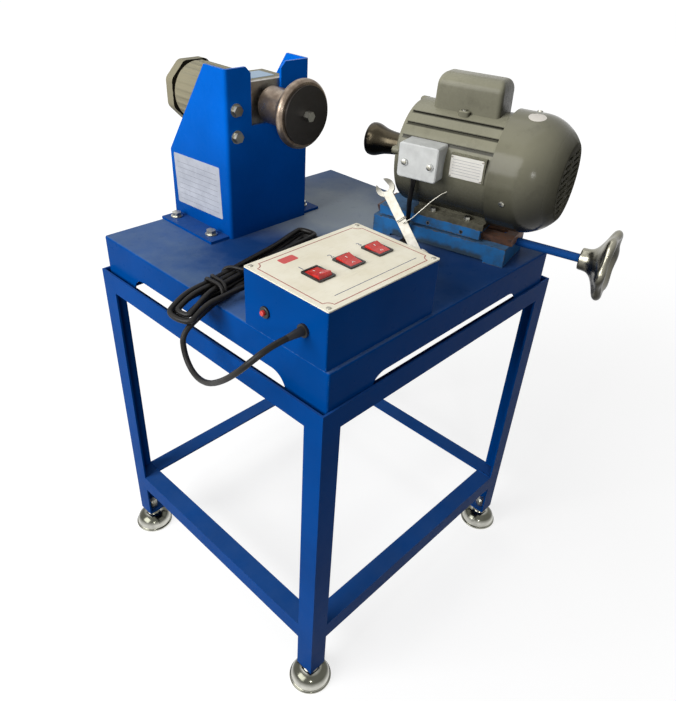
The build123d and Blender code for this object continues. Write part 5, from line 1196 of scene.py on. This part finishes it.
def cover_patch(share, angle, lift):
    """Points of a round paper patch laid on the fan cover: a disc in the cover's turn and length, lifted off
    the cover, which is level and then falls away in a round shoulder."""
    along = patch_v + patch_half * share * np.sin(angle)
    past = np.clip(cover_level - along, 0, None)
    reach = cover_radius - (cover_round - np.sqrt(cover_round**2 - past**2)) + lift
    turn = patch_turn + patch_half * share * np.cos(angle) / cover_radius
    return on_slide(round_motor(turn, along, reach))


patch_rings = np.array([(1.0, -0.1), (1.0, 0.14), (0.75, 0.16), (0.5, 0.16), (0.25, 0.16), (0.02, 0.16)])
shares, lifts = patch_rings.T[:, :, None]
patch = cover_patch(shares, full_turn(40)[None], lifts)
paper_white = printed("paper_white", linear(214, 208, 198))
group_piece("fan_cover_patch", [patch], paper_white, "panel_cream", "saddle")

# Half section of the arbor: place along the motor and radius, from its bore round the neck, the lip and the
# thread
arbor_section = [
    (-58.5, 9.6), (-58.5, 14.8), (-57.8, 15.5), (-50.0, 15.5), (-38.0, 15.8), (-28.0, 16.6), (-19.0, 18.0),
    (-12.0, 20.0), (-7.0, 22.0), (-3.0, 23.3), (0.5, 23.9), (3.8, 24.0), (6.6, 23.5), (8.6, 22.4),
    (9.7, 20.8), (10.0, 18.8), (9.4, 17.2), (8.0, 16.6), (8.0, 5.0), (-16.0, 5.0), (-16.0, 0.3),
    (-29.7, 0.3), (-29.7, 9.6),
]
arbor = turned(arbor_section, on_slide((slide_u, 0.0, motor_z)), slide_along, 72)
# Strong painted shade: faces of the arbor that turn away from up and left go nearly black
arbor_bronze = plated("arbor_bronze", linear(70, 64, 52), 0.18, 0.32, 70.0, 0.0001, 0.08)
group_piece("arbor_shell", [arbor], arbor_bronze, "arbor_black", "rotor", "arbor", closed=True, smooth=50.0)


# The motor's lead: 7 mm round cord from the terminal box down beside the slide and through the pan.

lead_route = on_slide([
    (44.0, -102.0, 115.0), (44.0, -102.0, 103.0), (48.5, -98.5, 88.0), (56.0, -94.0, 70.0),
    (66.0, -91.0, 50.0), (72.0, -87.5, 24.0), (73.5, -86.0, -2.0),
])
lead_wide, lead_length = 0.007, 0.1233
lead_spline = cord_line("motor_lead_spline", lead_route, lead_wide)
lead_mesh = shaped(lead_spline)
lead_spline.data.bevel_depth = 0.0
lead_thread = shaped(lead_spline)
lead_path = np.zeros(3 * len(lead_thread.vertices))
lead_thread.vertices.foreach_get("co", lead_path)
bpy.data.objects.remove(lead_spline)
motor_cord = placed("motor_cord", lead_mesh)
motor_cord.data.materials.append(cord_sheath.material)
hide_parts("motor_lead")
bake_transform(motor_cord)


# The spanner: forged from flat steel and plated, with an open jaw at each end, painted dark grey as painted
# shade. A thin wire ties it to the motor, so it rides with the saddle.

tied_at = np.array((32.0, -97.0, 50.6))
shank_span = 115.2
shank_run = np.array((42.0, 83.0, 68.0)) / shank_span
shank_face = np.array((-0.80, -0.08, 0.59))
shank_axis = shank_run @ np.stack((slide_across, slide_along, upright))
tie_past_middle, neck_reach, jaw_reach = 0.0017, 0.049, 0.062
spanner_plate = Finish("spanner_plate")
tarnish = spanner_plate.spread(spanner_plate.speckle(110.0, 5.0, 0.62), 0.35, 0.75)
spanner_plate.mottle(linear(232, 228, 214), linear(204, 197, 177), tarnish, 0.3, 0.5)
reach = spanner_plate.plus(spanner_plate.reach(on_slide(tied_at), shank_axis), tie_past_middle)
# Painted shade: the plating darkens from the neck of each jaw to its end
scale = spanner_plate.spread(spanner_plate.maths("ABSOLUTE", reach), neck_reach, jaw_reach, 0.0, 0.9)
spanner_plate.coat(linear(74, 71, 58), scale)
spanner_plate.feed(Metallic=0.06)
spanner_plate.relief(spanner_plate.speckle(800.0, 3.0), 0.00008, 0.4)
dress(spanner_plate, "spanner")

wire_radius, coil_half, coil_rise, coil_pitch = 0.0007, 7.3, 3.2, 0.9
wind = np.linspace(0.2 * math.pi, 2.9 * math.pi, 50)[:, None]
coil = tied_at + coil_half * np.cos(wind) * np.cross(shank_face, shank_run)
coil = coil + coil_rise * np.sin(wind) * shank_face + coil_pitch * wind / math.pi * shank_run
loose = [
    (27.0, -101.0, 49.0), (31.0, -112.0, 58.0), (37.0, -123.0, 72.0), (44.0, -134.0, 86.0),
    (50.0, -143.0, 95.0), (54.0, -149.0, 99.0),
]
wires = [round_bar(on_slide(path), np.full(len(path), wire_radius), 8) for path in (coil, loose)]
pale_wire = plated("pale_wire", linear(226, 222, 208), 0.4, 0.55, 90.0, 0.00005)
group_piece("spanner_tie_wire", wires, pale_wire, "spanner_steel", "saddle", smooth=60.0)
